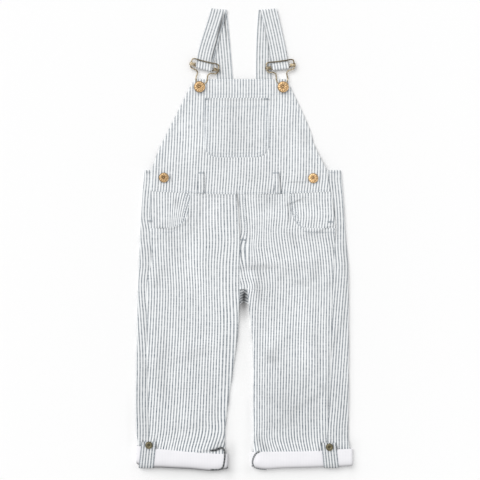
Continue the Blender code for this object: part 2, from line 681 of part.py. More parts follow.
def tube(name, path, radius, finish, sides=6):
    """A wire of round section along a closed path that lies nearly level."""
    path = np.asarray(path, dtype=float)
    tangent = np.roll(path, -1, axis=0) - np.roll(path, 1, axis=0)
    tangent /= np.linalg.norm(tangent, axis=1, keepdims=True)
    side = np.cross(tangent, (0, 0, 1.0))
    side /= np.linalg.norm(side, axis=1, keepdims=True)
    up = np.cross(side, tangent)
    angle = np.linspace(0, 2 * math.pi, sides, endpoint=False)[:, None]
    points = path[:, None, :] + radius * (side[:, None, :] * np.cos(angle) + up[:, None, :] * np.sin(angle))
    return new_object(name, points, grid_faces(len(path), sides, wrap=True), finish)


def buckle(side):
    """The buckle's bent wire: a top bar, two straight sides, shoulders that come in to a neck, and a
    keyhole loop round the button's shank."""
    right_half = (
        (0, TOP_BAR_AT), (9, TOP_BAR_AT), (18.4, TOP_BAR_AT), (20.2, 38.2), (FRAME_HALF, 36.4),
        (FRAME_HALF, 31.5), (FRAME_HALF, 27.4), (19.2, 25.4), (15, 24.2), (10.4, 22.9), (8.3, 20.6),
        (8.2, 16.5), (8.6, 12.6), (7.6, 8.8), (5.6, 5.6), (4.5, 2.2), (3.8, -1.6), (1.9, -3.9),
    )
    half = np.array(right_half, dtype=float)
    loop = np.concatenate([half, [(0.0, -4.5)], half[:0:-1] * (-1, 1)])
    button, up, across = buckle_frame(side)
    plan = button + loop[:, :1] * across + loop[:, 1:] * up
    return tube(f"buckle_{side}", np.column_stack([plan, buckle_z(side, loop[:, 1])]), WIRE, BRASS)


def slider(side):
    """The sliding bar that the strap goes round, with a collar on each side wire of the buckle."""
    button, up, across = buckle_frame(side)
    angle = np.linspace(0, 2 * math.pi, 8, endpoint=False)
    ends = []
    for at in (-1.0, 1.0):
        from_axis = FRAME_HALF - COLLAR_REACH - (COLLAR_BORE + COLLAR_RADIUS) / 2
        middle = button + up * SLIDER_AT + across * at * from_axis
        plan = middle + BAR * np.cos(angle)[:, None] * up
        ends.append(np.column_stack([plan, FRAME_Z + BAR * np.sin(angle)]))
    faces = [[i, (i + 1) % 8, (i + 1) % 8 + 8, i + 8] for i in range(8)]
    faces += [list(range(7, -1, -1)), list(range(8, 16))]
    bar = new_object(f"slider_{side}", np.array(ends), faces, BRASS)
    half = np.radians([-90, -60, -30, 0, 30, 60, 90])
    angle = np.concatenate([half, half + math.pi])
    inner = np.repeat([0.0, 1.0], len(half))
    for at in (-1.0, 1.0):
        turned = slice(None, None, int(at))
        rings = []
        section = ((COLLAR_RADIUS, -0.5), (COLLAR_RADIUS, 0.5), (COLLAR_BORE, 0.5), (COLLAR_BORE, -0.5))
        for radius, along in section:
            middle = button + up * (COLLAR_AT + along * COLLAR_LENGTH) + across * at * FRAME_HALF
            out = at * (radius * np.cos(angle) - COLLAR_REACH * inner)[turned]
            plan = middle + out[:, None] * across
            rings.append(np.column_stack([plan, FRAME_Z + radius * np.sin(angle)[turned]]))
        collar = new_object("collar", np.array(rings), grid_faces(4, len(angle), wrap=True), BRASS)
        join = bar.modifiers.new("collar", "BOOLEAN")
        join.operation = "UNION"
        join.object = collar
        bpy.context.view_layer.update()
        joined = bar.evaluated_get(bpy.context.evaluated_depsgraph_get())
        shape = bpy.data.meshes.new_from_object(joined)
        bar.modifiers.clear()
        bar.data = shape
        bpy.data.objects.remove(collar, do_unlink=True)
    return bar


def button(name, x, height, seat, radius, shank, finish, segments=16):
    """A metal button turned round its own axis: a rim, a raised ring and a sunk middle on a shank."""
    top = BUTTON_HEIGHT * radius / STRAP_BUTTON
    profile = (
        (0.0, 0.66 * top), (0.24, 0.66 * top), (0.36, 0.96 * top), (0.62, top), (0.9, 0.92 * top),
        (1.0, 0.6 * top), (0.97, 0.2 * top), (0.86, 0.0),
    )
    rings = [(r * radius, z) for r, z in profile] + [(SHANK, 0.0), (SHANK, -shank), (0.0, -shank)]
    angle = np.linspace(0, 2 * math.pi, segments, endpoint=False)
    circle = np.stack([np.cos(angle), np.sin(angle)], axis=1)
    verts, faces = [], []
    for r, z in rings:
        verts.append(np.column_stack([circle * r + (x, height), np.full(segments, z + seat)]))
    for i in range(len(rings) - 1):
        for j in range(segments):
            k = (j + 1) % segments
            faces.append([i * segments + j, i * segments + k, (i + 1) * segments + k, (i + 1) * segments + j])
    return new_object(name, np.concatenate(verts), faces, finish)


def strap_button(side):
    """The button that the buckle's loop hangs on: its head lies over the wire."""
    x, height, _ = BUCKLES[side]
    stem = 2 * WIRE + SEAM
    seat = spot(x, height) + SEAM + stem
    return button(f"strap_button_{side}", x, height, seat, STRAP_BUTTON, stem, BRASS)


def hip_button(side):
    x, height = HIP_BUTTONS[side]
    seat = spot(x, height) + SEAM + HIP_STEM
    return button(f"hip_button_{side}", x, height, seat, HIP_BUTTON, HIP_STEM, BRASS)


def tab(side):
    """The tab that holds a cuff up: from its tip on the leg, down over the cuff and round its fold."""
    fold_x, tip_x, tip = TABS[side]
    low = float(cuff_edge(side, "bottom", fold_x + np.linspace(-TAB_WIDTH / 2, TAB_WIDTH / 2, 5)).min())
    edge = float(cuff_edge(side, "top", np.array([tip_x]))[0])
    on_cuff = CUFF_DEPTH + SEAM + CLOTH / 2
    on_leg = EDGE + LAYER + SEAM + CLOTH / 2 + TAB_RISE
    above = [tip, tip - 2, edge + 2.5, edge + 0.5]
    height = np.array([*above, edge - 2, edge - 8, low + 12, low + 6, low + CUFF_FOLD])
    share = ease((height - edge - 0.3) / (tip - edge - 1.5))
    z = on_cuff + (on_leg - on_cuff) * share
    radius = CUFF_FOLD + SEAM + CLOTH / 2
    turn = np.linspace(0, math.pi, 8)[1:]
    back = low + TAB_INSIDE * np.array([0.6, 1.0])
    height = np.concatenate([height, low + CUFF_FOLD - radius * np.sin(turn), back])
    inside = on_cuff - 2 * radius
    z = np.concatenate([z, CUFF_DEPTH - CUFF_FOLD + radius * np.cos(turn), [inside, inside]])
    x = fold_x + (tip_x - fold_x) * np.clip((height - low) / (tip - low), 0, 1)
    x[len(x) - 9 :] = fold_x
    path = np.column_stack([x, height, z])
    return ribbon(f"tab_{side}", path, np.tile((1.0, 0, 0), (len(path), 1)), TAB_WIDTH / 2)


def tab_button(side):
    x, height = TAB_BUTTONS[side]
    seat = CUFF_DEPTH + SEAM + CLOTH + SEAM
    return button(f"tab_button_{side}", x, height, seat + TAB_STEM, TAB_BUTTON, TAB_STEM, BRONZE, segments=14)


def main():
    for old in list(bpy.data.objects):
        bpy.data.objects.remove(old, do_unlink=True)
    front_bib()
    back_bib()
    chest_pocket()
    fly_placket()
    for side in ("left", "right"):
        for piece in (
            back_leg, front_leg, pocket_facing, belt_loop, cuff, tab, tab_button,
            strap, buckle, slider, strap_button, hip_button,
        ):
            piece(side)


main()
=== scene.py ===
"""Looks of a small child's bib overalls in striped cotton, laid flat on their back.

Lengths are in millimetres in the garment's own plan: x runs across it, with the viewer's right positive,
height runs up it from the lowest cuff edge, and z is the distance from the surface that it lies on.
mesh_piece moves them to metres in the shared frame. Every sheet of cloth is a grid of points with a
rounded rim and an inner side, and its UV map counts stripes: u is 0, 1, 2 ... at the middle of each dark
stripe, and v counts the same width along them.
"""
import math
from functools import partial

import bmesh
import bpy
import numpy as np
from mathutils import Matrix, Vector


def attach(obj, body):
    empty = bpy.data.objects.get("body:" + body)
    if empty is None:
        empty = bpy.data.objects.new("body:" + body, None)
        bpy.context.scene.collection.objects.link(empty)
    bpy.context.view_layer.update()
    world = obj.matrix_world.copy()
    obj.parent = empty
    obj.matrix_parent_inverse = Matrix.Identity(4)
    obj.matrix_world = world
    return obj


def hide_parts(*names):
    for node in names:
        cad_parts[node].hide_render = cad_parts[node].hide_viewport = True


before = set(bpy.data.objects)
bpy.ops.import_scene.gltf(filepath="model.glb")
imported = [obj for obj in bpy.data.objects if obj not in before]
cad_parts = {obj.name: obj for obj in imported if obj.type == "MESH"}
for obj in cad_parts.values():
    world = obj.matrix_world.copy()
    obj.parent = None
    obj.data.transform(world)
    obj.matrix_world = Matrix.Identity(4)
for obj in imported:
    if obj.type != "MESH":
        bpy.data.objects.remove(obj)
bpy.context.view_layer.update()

MM = 0.001
ORIGIN = (-0.15, 347.3)  # x and height of the part's origin
STRIPE = 4.22  # width of one dark and one white stripe together

# Cloth and layers
CLOTH = 1.1  # thickness
SEAM = 0.3  # gap between pieces
LAYER = CLOTH + SEAM
EDGE = 4.2  # outer height of the rounded side edges
FRONT = EDGE + SEAM  # underside of a front panel where it lies on the turned back
RIM = 0.13  # how far a cloth edge bulges between its two sides
SHOULDER = 692.6  # height of the straps' folds

# Waist, crotch and side openings
WAIST = 414.0
WAIST_RISE = 5.2  # how much higher the waist seam is at HALF_WAIST from the middle
HALF_WAIST = 140.0
BACK_WAIST = 450.5
FRONT_CROTCH = 272.0
BACK_CROTCH = 251.0
VENT_END = 374.0  # lower end of the side openings
VENT_UNDERLAP = 29.0  # how far the back reaches under the front beside an opening
SEAM_UNDERLAP = 6.0
CURL = 3.0  # width over which a front leg turns down at its inner edge
HEM = 11.0  # lowest row of the legs, inside the cuffs

# Leg sections: height, side outline, side seam, inner edge
LEG_COLUMNS = ("height", "outline", "seam", "inner")
LEFT_LEG = (
    (0, -159.3, -142.0, -27.4),
    (36, -159.3, -142.3, -28.8),
    (42, -159.3, -142.3, -28.8),
    (50, -160.8, -142.5, -28.8),
    (60, -161.8, -142.7, -28.6),
    (80, -162.2, -143.3, -26.4),
    (105, -162.6, -143.7, -23.2),
    (155, -161.8, -145.0, -16.0),
    (205, -160.9, -145.7, -9.5),
    (250, -160.0, -145.7, -6.7),
    (290, -158.6, -144.0, -6.2),
    (310, -158.0, -139.4, -6.0),
    (330, -157.0, -138.8, -6.0),
    (372, -155.2, -140.3, -7.3),
    (412, -152.7, -139.8, -10.5),
    (452, -149.4, -137.5, -11.0),
)
RIGHT_LEG = (
    (0, 160.4, 123.0, 12.8),
    (20, 160.4, 123.2, 13.0),
    (46, 156.9, 124.0, 14.6),
    (80, 157.0, 127.2, 14.4),
    (115, 157.3, 128.6, 14.2),
    (160, 157.4, 129.7, 14.2),
    (205, 157.4, 130.9, 11.8),
    (250, 157.4, 132.2, 6.7),
    (272, 157.3, 132.8, 5.2),
    (310, 156.5, 134.4, 5.0),
    (345, 153.5, 136.0, 5.0),
    (375, 151.2, 136.8, 5.0),
    (394, 150.1, 133.5, 5.0),
    (425, 147.6, 128.6, 5.0),
    (452, 144.9, 122.9, 5.0),
)
CENTRE_COLUMNS = ("height", "seam")
CENTRE_FRONT = ((270, -5.7), (310, -6.0), (347, -6.3), (382, -8.0), (416, -10.6))

# Bib sections: height, left edge, right edge
BIB_COLUMNS = ("height", "left", "right")
BIB = (
    (414, -139.8, 130.2),
    (430, -139.0, 127.6),
    (453, -137.4, 122.6),
    (466, -133.5, 116.0),
    (484, -127.0, 107.4),
    (493, -122.5, 103.6),
    (502, -118.0, 102.0),
    (520, -109.0, 95.4),
    (547, -95.5, 83.4),
    (565, -86.5, 74.4),
    (579, -79.0, 67.6),
    (587.2, -73.5, 62.5),
)
BIB_TOP = 587.2
BIB_LOW = 1.0  # underside of the bib at its edges
BIB_CROWN = 2.3  # how much higher it is in the middle
BACK_BIB = (
    (450.8, -98.0, 98.0),
    (462, -76.0, 78.0),
    (480, -56.0, 60.0),
    (500, -45.0, 49.0),
    (522, -40.0, 45.0),
)

# Cuff edges: x, upper edge, lower edge (heights)
CUFF_COLUMNS = ("x", "top", "bottom")
LEFT_CUFF = (
    (-161.6, 37.7, 10.4),
    (-150.0, 36.0, 6.8),
    (-120.0, 32.0, 4.8),
    (-80.0, 28.2, 2.7),
    (-43.0, 25.9, 0.3),
    (-24.2, 25.2, 3.2),
)
RIGHT_CUFF = (
    (10.9, 28.4, 5.8),
    (28.6, 28.6, 2.8),
    (60.0, 29.0, 4.0),
    (115.0, 30.1, 5.4),
    (141.0, 32.3, 6.2),
    (162.6, 32.9, 7.5),
)
CUFF_DEPTH = 2 * EDGE
# Way of the striped roll round each cuff's inner end: x, height
ROLLS = {
    "left": (
        (-50.0, 30.6), (-41.4, 31.5), (-36.0, 34.3), (-32.0, 34.2), (-29.8, 31.0), (-29.0, 25.5),
        (-29.3, 18.0), (-30.4, 10.5), (-32.2, 5.0), (-36.6, 2.4), (-42.1, 1.8), (-49.6, 2.0),
    ),
    "right": (
        (23.0, 29.2), (18.6, 26.8), (15.4, 22.7), (13.3, 17.2), (12.8, 11.8), (14.2, 7.3),
        (18.6, 4.3), (25.6, 2.8), (33.2, 2.7),
    ),
}
ROLL_RADIUS = 1.3
ROLL_STRIPES = 15
ROLL_PAINTED_LIGHT = {"left": 0.2, "right": 0.36}  # painted shade: a roll lies in the shadow of the cuff's edge and is painted this share of its colour
CUFF_SHADES = {"left": 0.62, "right": 0.42}  # painted shade: how dark a cuff's lower edge is painted
CUFF_FOLD = CLOTH + SEAM / 2  # radius of the fold at a cuff's lower edge
CUFF_INSIDE = 10.0  # how far a cuff's inner layer reaches up
HEM_GAP = 0.8  # from there to the leg's hem
END_INSET = 1.6  # how far the back stays inside a cuff's inner end
RAMP = 14.0  # height over which a leg comes down from its cuff

# Pockets
SCOOPS = {"left": (59.0, 56.0, 3.8), "right": (63.0, 55.0, 6.0)}  # width, depth, squareness
MOUTH_MARGIN = 5.0  # how far a facing reaches under a pocket's mouth
FACING_SLANTS = {"left": 0.3, "right": 0.0}  # lean of the stripes inside a pocket, near its inner side
MOUTH_LIFT = 12.0  # distance from a mouth over which the leg lies one layer higher
MOUTH_SLOPE = 9.0  # further distance over which it comes down
CHEST_POCKET = {"left": -59.4, "right": 37.7, "top": 558.8, "bottom": 469.6}
CHEST_CORNER = (21.0, 17.0)  # width and height of its rounded corners

# Largest folds, as in the solids: x, height, length, width, lean in degrees from upright, rise
FOLD_COLUMNS = ("x", "height", "length", "width", "lean", "rise")
FOLDS = (
    (18, 303, 34, 8, -66, -1.3),
    (12, 287, 40, 7, -8, 1.6),
    (32, 282, 60, 9, -20, -1.1),
    (74, 298, 48, 10, 62, -1.2),
    (112, 305, 40, 9, 20, -1.1),
    (116, 170, 90, 11, -14, -1.3),
    (95, 205, 110, 13, -10, 1.2),
    (45, 176, 26, 11, 40, -0.9),
    (47, 200, 40, 12, 60, 1.3),
    (70, 100, 44, 8, -46, -0.7),
    (92, 98, 40, 8, 44, -0.7),
    (60, 70, 60, 10, 78, -0.9),
    (118, 96, 60, 8, 2, -1.2),
    (-100, 345, 74, 10, -16, -0.6),
    (-72, 300, 100, 15, -8, 1.2),
    (-122, 292, 34, 8, 40, -1.0),
    (-60, 190, 46, 11, 74, 1.0),
    (-78, 170, 60, 10, 66, -1.1),
    (-118, 140, 96, 12, 3, -1.3),
    (-45, 110, 90, 11, -9, -1.2),
    (-80, 62, 66, 9, 82, -0.9),
    (-76, 500, 70, 16, -38, 1.3),
    (-50, 470, 62, 10, -64, -1.0),
    (66, 505, 70, 10, 30, -0.6),
    (20, 440, 70, 12, 84, -0.7),
)
# Smaller creases, in the same columns
CREASES = (
    (25, 304, 52, 3.5, 88, -1.1),
    (23, 268, 31, 5, -16, -0.9),
    (85, 285, 25, 3.5, -51, -0.7),
    (102, 285, 26, 3.5, 53, -0.7),
    (78, 281, 24, 5, -88, -0.7),
    (130, 278, 13, 5, 74, -0.8),
    (43, 166, 19, 7, -68, -0.9),
    (46, 185, 23, 5, 81, 0.8),
    (49, 101, 58, 5, -53, -0.5),
    (89, 98, 54, 5, 59, -0.5),
    (118, 107, 20, 4, -70, -0.6),
    (126, 106, 52, 3.5, 4, -0.8),
    (27, 43, 25, 5, -34, -0.8),
    (78, 315, 117, 6, 87, 0.7),
    (73, 347, 30, 6, -36, -0.8),
    (38, 411, 33, 12, 87, -0.8),
    (34, 381, 57, 7, 85, 0.8),
    (-7, 379, 69, 3, -4, -0.4),
    (-103, 337, 52, 6, -21, -0.4),
    (-101, 401, 12, 5, -34, -0.7),
    (-113, 383, 26, 7, 23, 0.6),
    (-26, 165, 95, 7, 5, -0.6),
    (-35, 44, 34, 6, 45, -0.8),
    (91, 496, 21, 6, -9, -0.8),
    (-68, 484, 45, 8, 40, 0.7),
    (-15, 515, 79, 8, -2, -0.4),
    (17, 485, 34, 7, 60, -0.6),
    (-85, 121, 95, 5, 86, -0.25),
    (-81, 150, 111, 4, 87, 0.2),
    (55, 220, 66, 6, -84, 0.4),
    (88, 199, 61, 7, 83, -0.4),
    (-58, 271, 142, 9, -13, 0.5),
    (-98, 217, 90, 8, 7, -0.2),
    (18, 434, 21, 5, 85, -0.4),
    (-38, 375, 62, 8, -30, 0.5),
    (97, 158, 53, 7, -13, 0.5),
    (-41, 511, 39, 7, -27, 0.4),
    (64, 496, 70, 8, -10, -0.4),
    (-85, 439, 38, 6, -43, -0.5),
)

# Painted shade and light: places that lie in shadow between layers are painted darker, and places that catch
# the light are painted lighter where the share is negative
DARK_COLUMNS = ("x", "height", "length", "width", "lean", "share")
DARKS = (
    (-32.4, 679.5, 12, 1.2, 14, 0.5),
    (-36.0, 666.0, 27, 1.6, 15, 0.9),
    (-40.9, 646.5, 23, 1.2, 12, 0.8),
    (-46.1, 627.8, 29, 1.3, 15, 0.72),
    (-39.6, 645.0, 26, 0.9, 12, -0.5),
    (-37.9, 641.0, 30, 0.9, 12, 0.55),
    (-28.9, 675.8, 24, 1.1, -5, 0.8),
    (-27.2, 660.0, 16, 1, -7, 0.4),
    (-26.3, 651.8, 21, 0.9, 0, 0.3),
    (32.3, 657.8, 28, 1, -2, 0.3),
    (37.1, 633.8, 35, 1.1, -5, 0.35),
    (24.5, 677.2, 17, 0.9, 2, 0.25),
    (-0.2, 259.1, 22, 2, 3, 0.97),
    (1.4, 268.1, 11, 1.2, 7, 0.5),
    (-5.9, 263.2, 21, 2, 4, -0.75),
    (-3.4, 269.8, 6, 2.4, -76, -0.3),
    (5.0, 263.2, 21, 1.5, -1, -0.6),
    (-141, 328, 19, 5, 0, 0.07),
    (-132, 278, 14, 3.5, 73, 0.13),
    (-143, 244, 19, 4, 0, 0.06),
    (-145, 201, 33, 4, 0, 0.08),
    (-146, 137, 59, 6, 0, 0.09),
    (-144, 77, 48, 6, 0, 0.08),
    (-24, 162, 103, 6, 8, 0.04),
    (19, 254, 116, 9, -1, 0.05),
    (-35, 40, 32, 6, 54, 0.16),
    (27, 40, 31, 6, -43, 0.16),
    (75, 95, 107, 44, 0, 0.085),
    (118, 124, 13, 4, -40, 0.14),
    (126, 100, 14, 4, -30, 0.12),
    (49, 101, 58, 5, -53, 0.04),
    (89, 98, 54, 5, 59, 0.04),
    (125, 108, 47, 4, 2, 0.07),
    (151, 321, 98, 3.5, -3, 0.11),
    (151, 254, 57, 3.5, 6, 0.1),
    (140, 205, 59, 3.5, 20, 0.12),
    (128, 155, 59, 3, 6, 0.1),
    (135.6, 382.5, 43, 1.3, -5, 0.38),
    (123.2, 363.0, 29, 1.5, 69, 0.26),
    (113.1, 357.4, 47, 1.6, 89, 0.18),
    (76.7, 403.2, 29, 1.3, 68, 0.36),
    (66.5, 386.2, 33, 1.2, -2, 0.34),
    (-9.9, 556.4, 105, 1.6, -90, 0.16),
    (109, 353, 47, 4, 90, 0.06),
    (100, 406, 26, 3, -82, 0.08),
    (91, 388, 45, 6, 88, -0.05),
    (100, 385, 48, 12, 90, -0.03),
    (77.9, 432.0, 45, 2.5, 88, 0.05),
    (54.0, 433.5, 26, 0.9, 2, 0.42),
    (-109.3, 438.0, 11, 1.2, -15, 0.5),
    (94.8, 438.4, 9, 1.1, 2, 0.3),
    (-143.1, 446.8, 10, 1.1, -41, 0.3),
    (51.6, 416.2, 8, 1.4, -63, 0.08),
    (79.0, 433.0, 35, 1, -89, 0.2),
    (-66, 432, 33, 4, 0, 0.05),
    (-42, 412, 48, 3, -86, 0.08),
    (-9.4, 405.8, 24, 1.4, -7, 0.5),
    (-6.7, 371.2, 62, 1.5, -4, 0.4),
    (-4.4, 324.0, 47, 1.1, -3, 0.18),
    (36, 410, 31, 16, 0, 0.07),
    (-120.5, 363.4, 29, 1.3, -84, 0.26),
    (-99.1, 365.6, 22, 1.3, 70, 0.26),
    (-84.5, 376.1, 21, 1.3, 38, 0.22),
    (-82, 394, 17, 3, -6, 0.06),
    (-117, 382, 21, 12, 90, -0.02),
    (-101, 401, 15, 4, -27, 0.1),
    (-113, 383, 27, 7, 27, -0.02),
    (-11, 512, 100, 44, 0, 0.03),
    (-6, 484, 34, 38, 0, 0.03),
    (32.5, 556.8, 13, 1.5, -88, 0.3),
    (-54.1, 557.2, 10, 1.5, 90, 0.24),
    (-58.6, 542.2, 31, 1.2, 0, 0.16),
    (94, 498, 22, 5, 0, 0.09),
    (56, 518, 94, 15, -5, -0.07),
    (-15.1, 471.3, 86, 2.2, 90, -0.14),
    (35.1, 509.2, 66, 2, 0, -0.12),
    (-60.4, 524.2, 72, 1.3, 0, -0.1),
    (73.0, 381.8, 45, 1.8, -40, -0.08),
    (20, 304, 57, 3.5, 87, 0.1),
    (24, 268, 33, 6, -12, 0.09),
    (82, 280, 22, 5, -86, 0.07),
    (128, 279, 12, 5, 82, 0.1),
    (43, 166, 22, 7, -72, 0.1),
    (74, 347, 29, 6, -33, 0.06),
    (130, 334, 16, 5, -6, 0.06),
    (-102, 335, 56, 6, -22, 0.02),
    (-158, 86, 98, 9, 1, 0.07),
    (19, 22, 21, 4, 1, -0.1),
    (-131.2, 35.9, 6, 1, 0, 0.75),
    (-151.3, 43.6, 6, 1, -27, 0.5),
    (-133.9, 46.2, 6, 0.9, -9, 0.5),
    (115.8, 41.0, 6, 1, -3, 0.6),
    (113.1, 31.8, 6, 1, -4, 0.5),
    (139.1, 33.6, 6, 0.9, 0, 0.55),
    (149, 89, 107, 8, -5, 0.06),
    (-57.9, 29.5, 23, 1.3, 83, 0.3),
    (-41.4, 32.7, 17, 1.5, 69, 0.45),
)
# The same painted shadows and painted light for the floor
FLOOR_DARKS = (
    (-0.3, 256, 27, 6, 0, 0.62),
    (-0.3, 256, 54, 6.5, 0, 0.42),
    (-0.3, 256, 78, 8, 0, 0.17),
    (-2, 215, 150, 14, 0, 0.045),
    (-7, 215, 110, 4, 3, 0.05),
    (0, 320, 1000, 280, 0, 0.014),
    (-84, 3, 112, 9, 93, 0.12),
    (-84, 2, 118, 3, 93, 0.16),
    (85, 4, 150, 8, 89, 0.07),
    (-22, 10, 50, 8, 0, 0.12),
    (-24, 60, 90, 8, 0, 0.04),
    (-17, 20, 48, 6, 0, 0.09),
    (6, 20, 60, 7, 0, 0.05),
    (160, 150, 300, 5, 0, 0.05),
    (165, 20, 54, 9, 0, 0.07),
    (-84, 4, 116, 4, 92, 0.1),
    (-84, -8, 118, 9, 92, 0.06),
    (85, -6, 122, 10, 89, 0.037),
    (6, 80, 60, 4, 0, 0.04),
    (-173, 70, 90, 5, 0, 0.03),
    (-63, 591, 17, 11, -10, -0.14),
    (60, 591, 17, 11, 8, -0.14),
    (0, 100, 700, 240, 0, 0.012),
)
CALM_EDGE = 12.0  # width over which the folds fade beside the turned back

# Stripe lines: heights, and the x of a few chosen stripes there; the counts say which stripes they are
LEFT_GRAIN_COUNTS = (0, 12, 22, 27)
LEFT_GRAIN = (
    (30.8, -141.9, -92.4, -46.7, -22.7),
    (57.8, -137.6, -86.4, -38.7, -14.7),
    (81.8, -136.1, -84.2, -39.2, -14.9),
    (153.8, -131.4, -80.1, -37.5, -12.5),
    (225.8, -127.5, -76.8, -35.3, -10.4),
    (273.8, -126.0, -76.7, -36.6, -12.3),
    (309.8, -128.0, -78.5, -36.2, -11.9),
    (345.8, -129.3, -79.4, -33.5, -10.5),
    (369.8, -129.2, -79.7, -34.5, -10.7),
    (405.8, -129.6, -79.1, -35.0, -12.0),
)
RIGHT_GRAIN_COUNTS = (-2, 0, 3, 10, 16, 28)
RIGHT_GRAIN = (
    (27.8, 1.0, 9.4, 22.4, 51.6, 76.4, 125.1),
    (45.8, -1.0, 7.4, 19.5, 46.1, 72.0, 122.9),
    (69.8, -1.2, 7.2, 19.4, 45.9, 70.5, 122.1),
    (141.8, -1.0, 7.4, 19.5, 46.5, 71.9, 122.9),
    (213.8, -0.3, 8.1, 20.3, 48.8, 73.4, 123.0),
    (246.8, 0.7, 8.9, 21.3, 49.9, 75.1, 123.8),
    (261.8, 3.0, 10.7, 22.4, 50.4, 75.9, 124.1),
    (276.8, 4.6, 12.4, 23.3, 50.9, 76.3, 124.3),
    (288.8, 1.8, 9.3, 21.6, 50.9, 76.2, 124.3),
    (300.8, -0.2, 7.3, 19.8, 50.4, 75.2, 123.7),
    (309.8, -2.3, 7.8, 20.4, 50.0, 74.3, 123.2),
    (321.8, -4.7, 8.0, 19.6, 48.1, 72.9, 122.0),
    (333.8, -5.5, 8.3, 18.0, 46.2, 71.4, 120.8),
    (357.8, 0.5, 8.9, 19.5, 43.8, 68.3, 117.5),
    (381.8, -0.6, 7.8, 19.5, 45.3, 70.2, 119.4),
    (405.8, -2.4, 6.0, 18.2, 46.4, 68.3, 118.4),
)
BIB_GRAIN_COUNTS = (0, 30)
BIB_GRAIN = (
    (417.8, -66.2, 60.8),
    (441.8, -64.8, 63.3),
    (462.8, -63.8, 63.9),
    (483.8, -62.7, 64.2),
    (504.8, -61.8, 64.5),
    (525.8, -61.5, 64.8),
    (546.8, -60.8, 65.7),
    (567.8, -60.0, 65.9),
)
LEFT_BAND_GRAIN = (
    (40.0, -143.4),
    (66.0, -143.2),
    (90.0, -143.9),
    (186.8, -144.0),
    (210.8, -145.5),
    (234.8, -147.0),
    (258.8, -149.0),
    (282.8, -149.8),
    (306.8, -147.6),
    (330.8, -148.5),
    (345.8, -150.2),
    (360.8, -151.1),
    (375.8, -153.5),
    (405.8, -153.0),
    (435.8, -150.3),
)
RIGHT_BAND_GRAIN = (
    (30.0, 125.8),
    (66.8, 126.3),
    (90.8, 128.3),
    (138.8, 131.7),
    (186.8, 134.9),
    (234.8, 138.0),
    (258.8, 140.0),
    (282.8, 141.8),
    (306.8, 142.8),
    (330.8, 141.0),
    (375.8, 140.6),
    (405.8, 138.9),
    (435.8, 135.9),
)
LEG_GRAIN = {"left": (LEFT_GRAIN, LEFT_GRAIN_COUNTS), "right": (RIGHT_GRAIN, RIGHT_GRAIN_COUNTS)}
BAND_GRAIN = {"left": LEFT_BAND_GRAIN, "right": RIGHT_BAND_GRAIN}

# Hardware
STRAP_WIDTH = 24.0
WIRE = 1.0  # radius of a buckle's wire
BAR = 0.9  # radius of a slider's bar
FRAME_Z = 5.0  # height of a buckle's frame
SLIDER_AT = 28.5  # how far up from the button
TOP_BAR_AT = 39.0  # the same
FRAME_HALF = 20.6  # half the width of a buckle
COLLAR_AT = 31.0  # middle of a slider's coils, up from the button
COLLAR_LENGTH = 4.6
COLLAR_REACH = 4.2  # how far the coils are drawn out towards the strap
COLLAR_TURNS = 3
COIL_WIRE = 0.72  # radius
TIP = 0.05  # a coil's wire shrinks to this radius at its ends
SHANK = 2.2  # radius of a button's shank
HIP_STEM = 0.5  # length of a shank above the cloth
TAB_STEM = 0.4
BUTTON_HEIGHT = 3.0  # of a strap button; the others are lower as they are narrower
STRAP_BUTTON = 8.5  # radius, as for the two below
HIP_BUTTON = 7.5
TAB_BUTTON = 5.6
# x and height of a buckle's button, and the buckle's lean in degrees
BUCKLES = {"left": (-66.8, 575.4, 13.8), "right": (58.5, 575.2, -7.3)}
SHOULDERS = {"left": (-37.6, -38.0), "right": (37.0, 33.5)}  # x of a strap at its fold, in front and behind
STRAP_FEET = {"left": (-24.0, 508.0), "right": (32.5, 508.0)}  # x and height of its end on the back bib
STRAP_TURN = 1.3  # radius of the fold at the shoulder
STRAP_LEANS = {"left": (-0.06, -0.12), "right": (-0.054, 0.09)}  # directions of the hidden part at its ends
STRAP_BOWS = {"left": 0.2, "right": 0.0}  # how far the front part bends out above the slider
STRAP_PHASES = {"left": 0.5, "right": 0.0}  # the stripes' shift on the front part of a strap
STRAP_SETTLE = 0.75  # how far the front part sinks below the fold
TAIL_DROPS = (1.5, 1.05)  # how far the end behind the slider falls, under the top bar and beyond
TAIL = 26.0  # its length
STRAP_SHEENS = {"left": (1.0, 0.0), "right": (1.1, 0.1)}  # painted light on a button: its tone, and how it falls to the right from a painted highlight on the left
# The same painted light for the hip buttons
HIP_SHEENS = {"left": (0.9, 0.0), "right": (1.25, 0.35)}
HIP_BUTTONS = {"left": (-120.3, 439.2), "right": (103.6, 438.4)}
BELT_LOOPS = {"left": (-64.4, -64.4), "right": (51.2, 47.6)}  # x of the lower and of the upper end
LOOP_SIZE = (9.5, 415.6, 447.4, 0.9)  # width, heights of both ends, rise between them
LOOP_SHADES = {"left": 0.3, "right": 0.5}  # painted shade: how dark a loop's right edge is painted
TABS = {"left": (-146.6, -142.6, 43.5), "right": (130.4, 126.6, 42.0)}  # x of fold and tip, height of tip
TAB_WIDTH = 22.0
TAB_INSIDE = 9.2  # how far up a tab reaches inside its cuff
TAB_RISE = 1.05  # how far its tip stands off the leg
TAB_BUTTONS = {"left": (-142.4, 39.0), "right": (127.6, 36.2)}
FLY = (11.2, 346.0, 323.0)  # width, heights of the bar tack and of the point

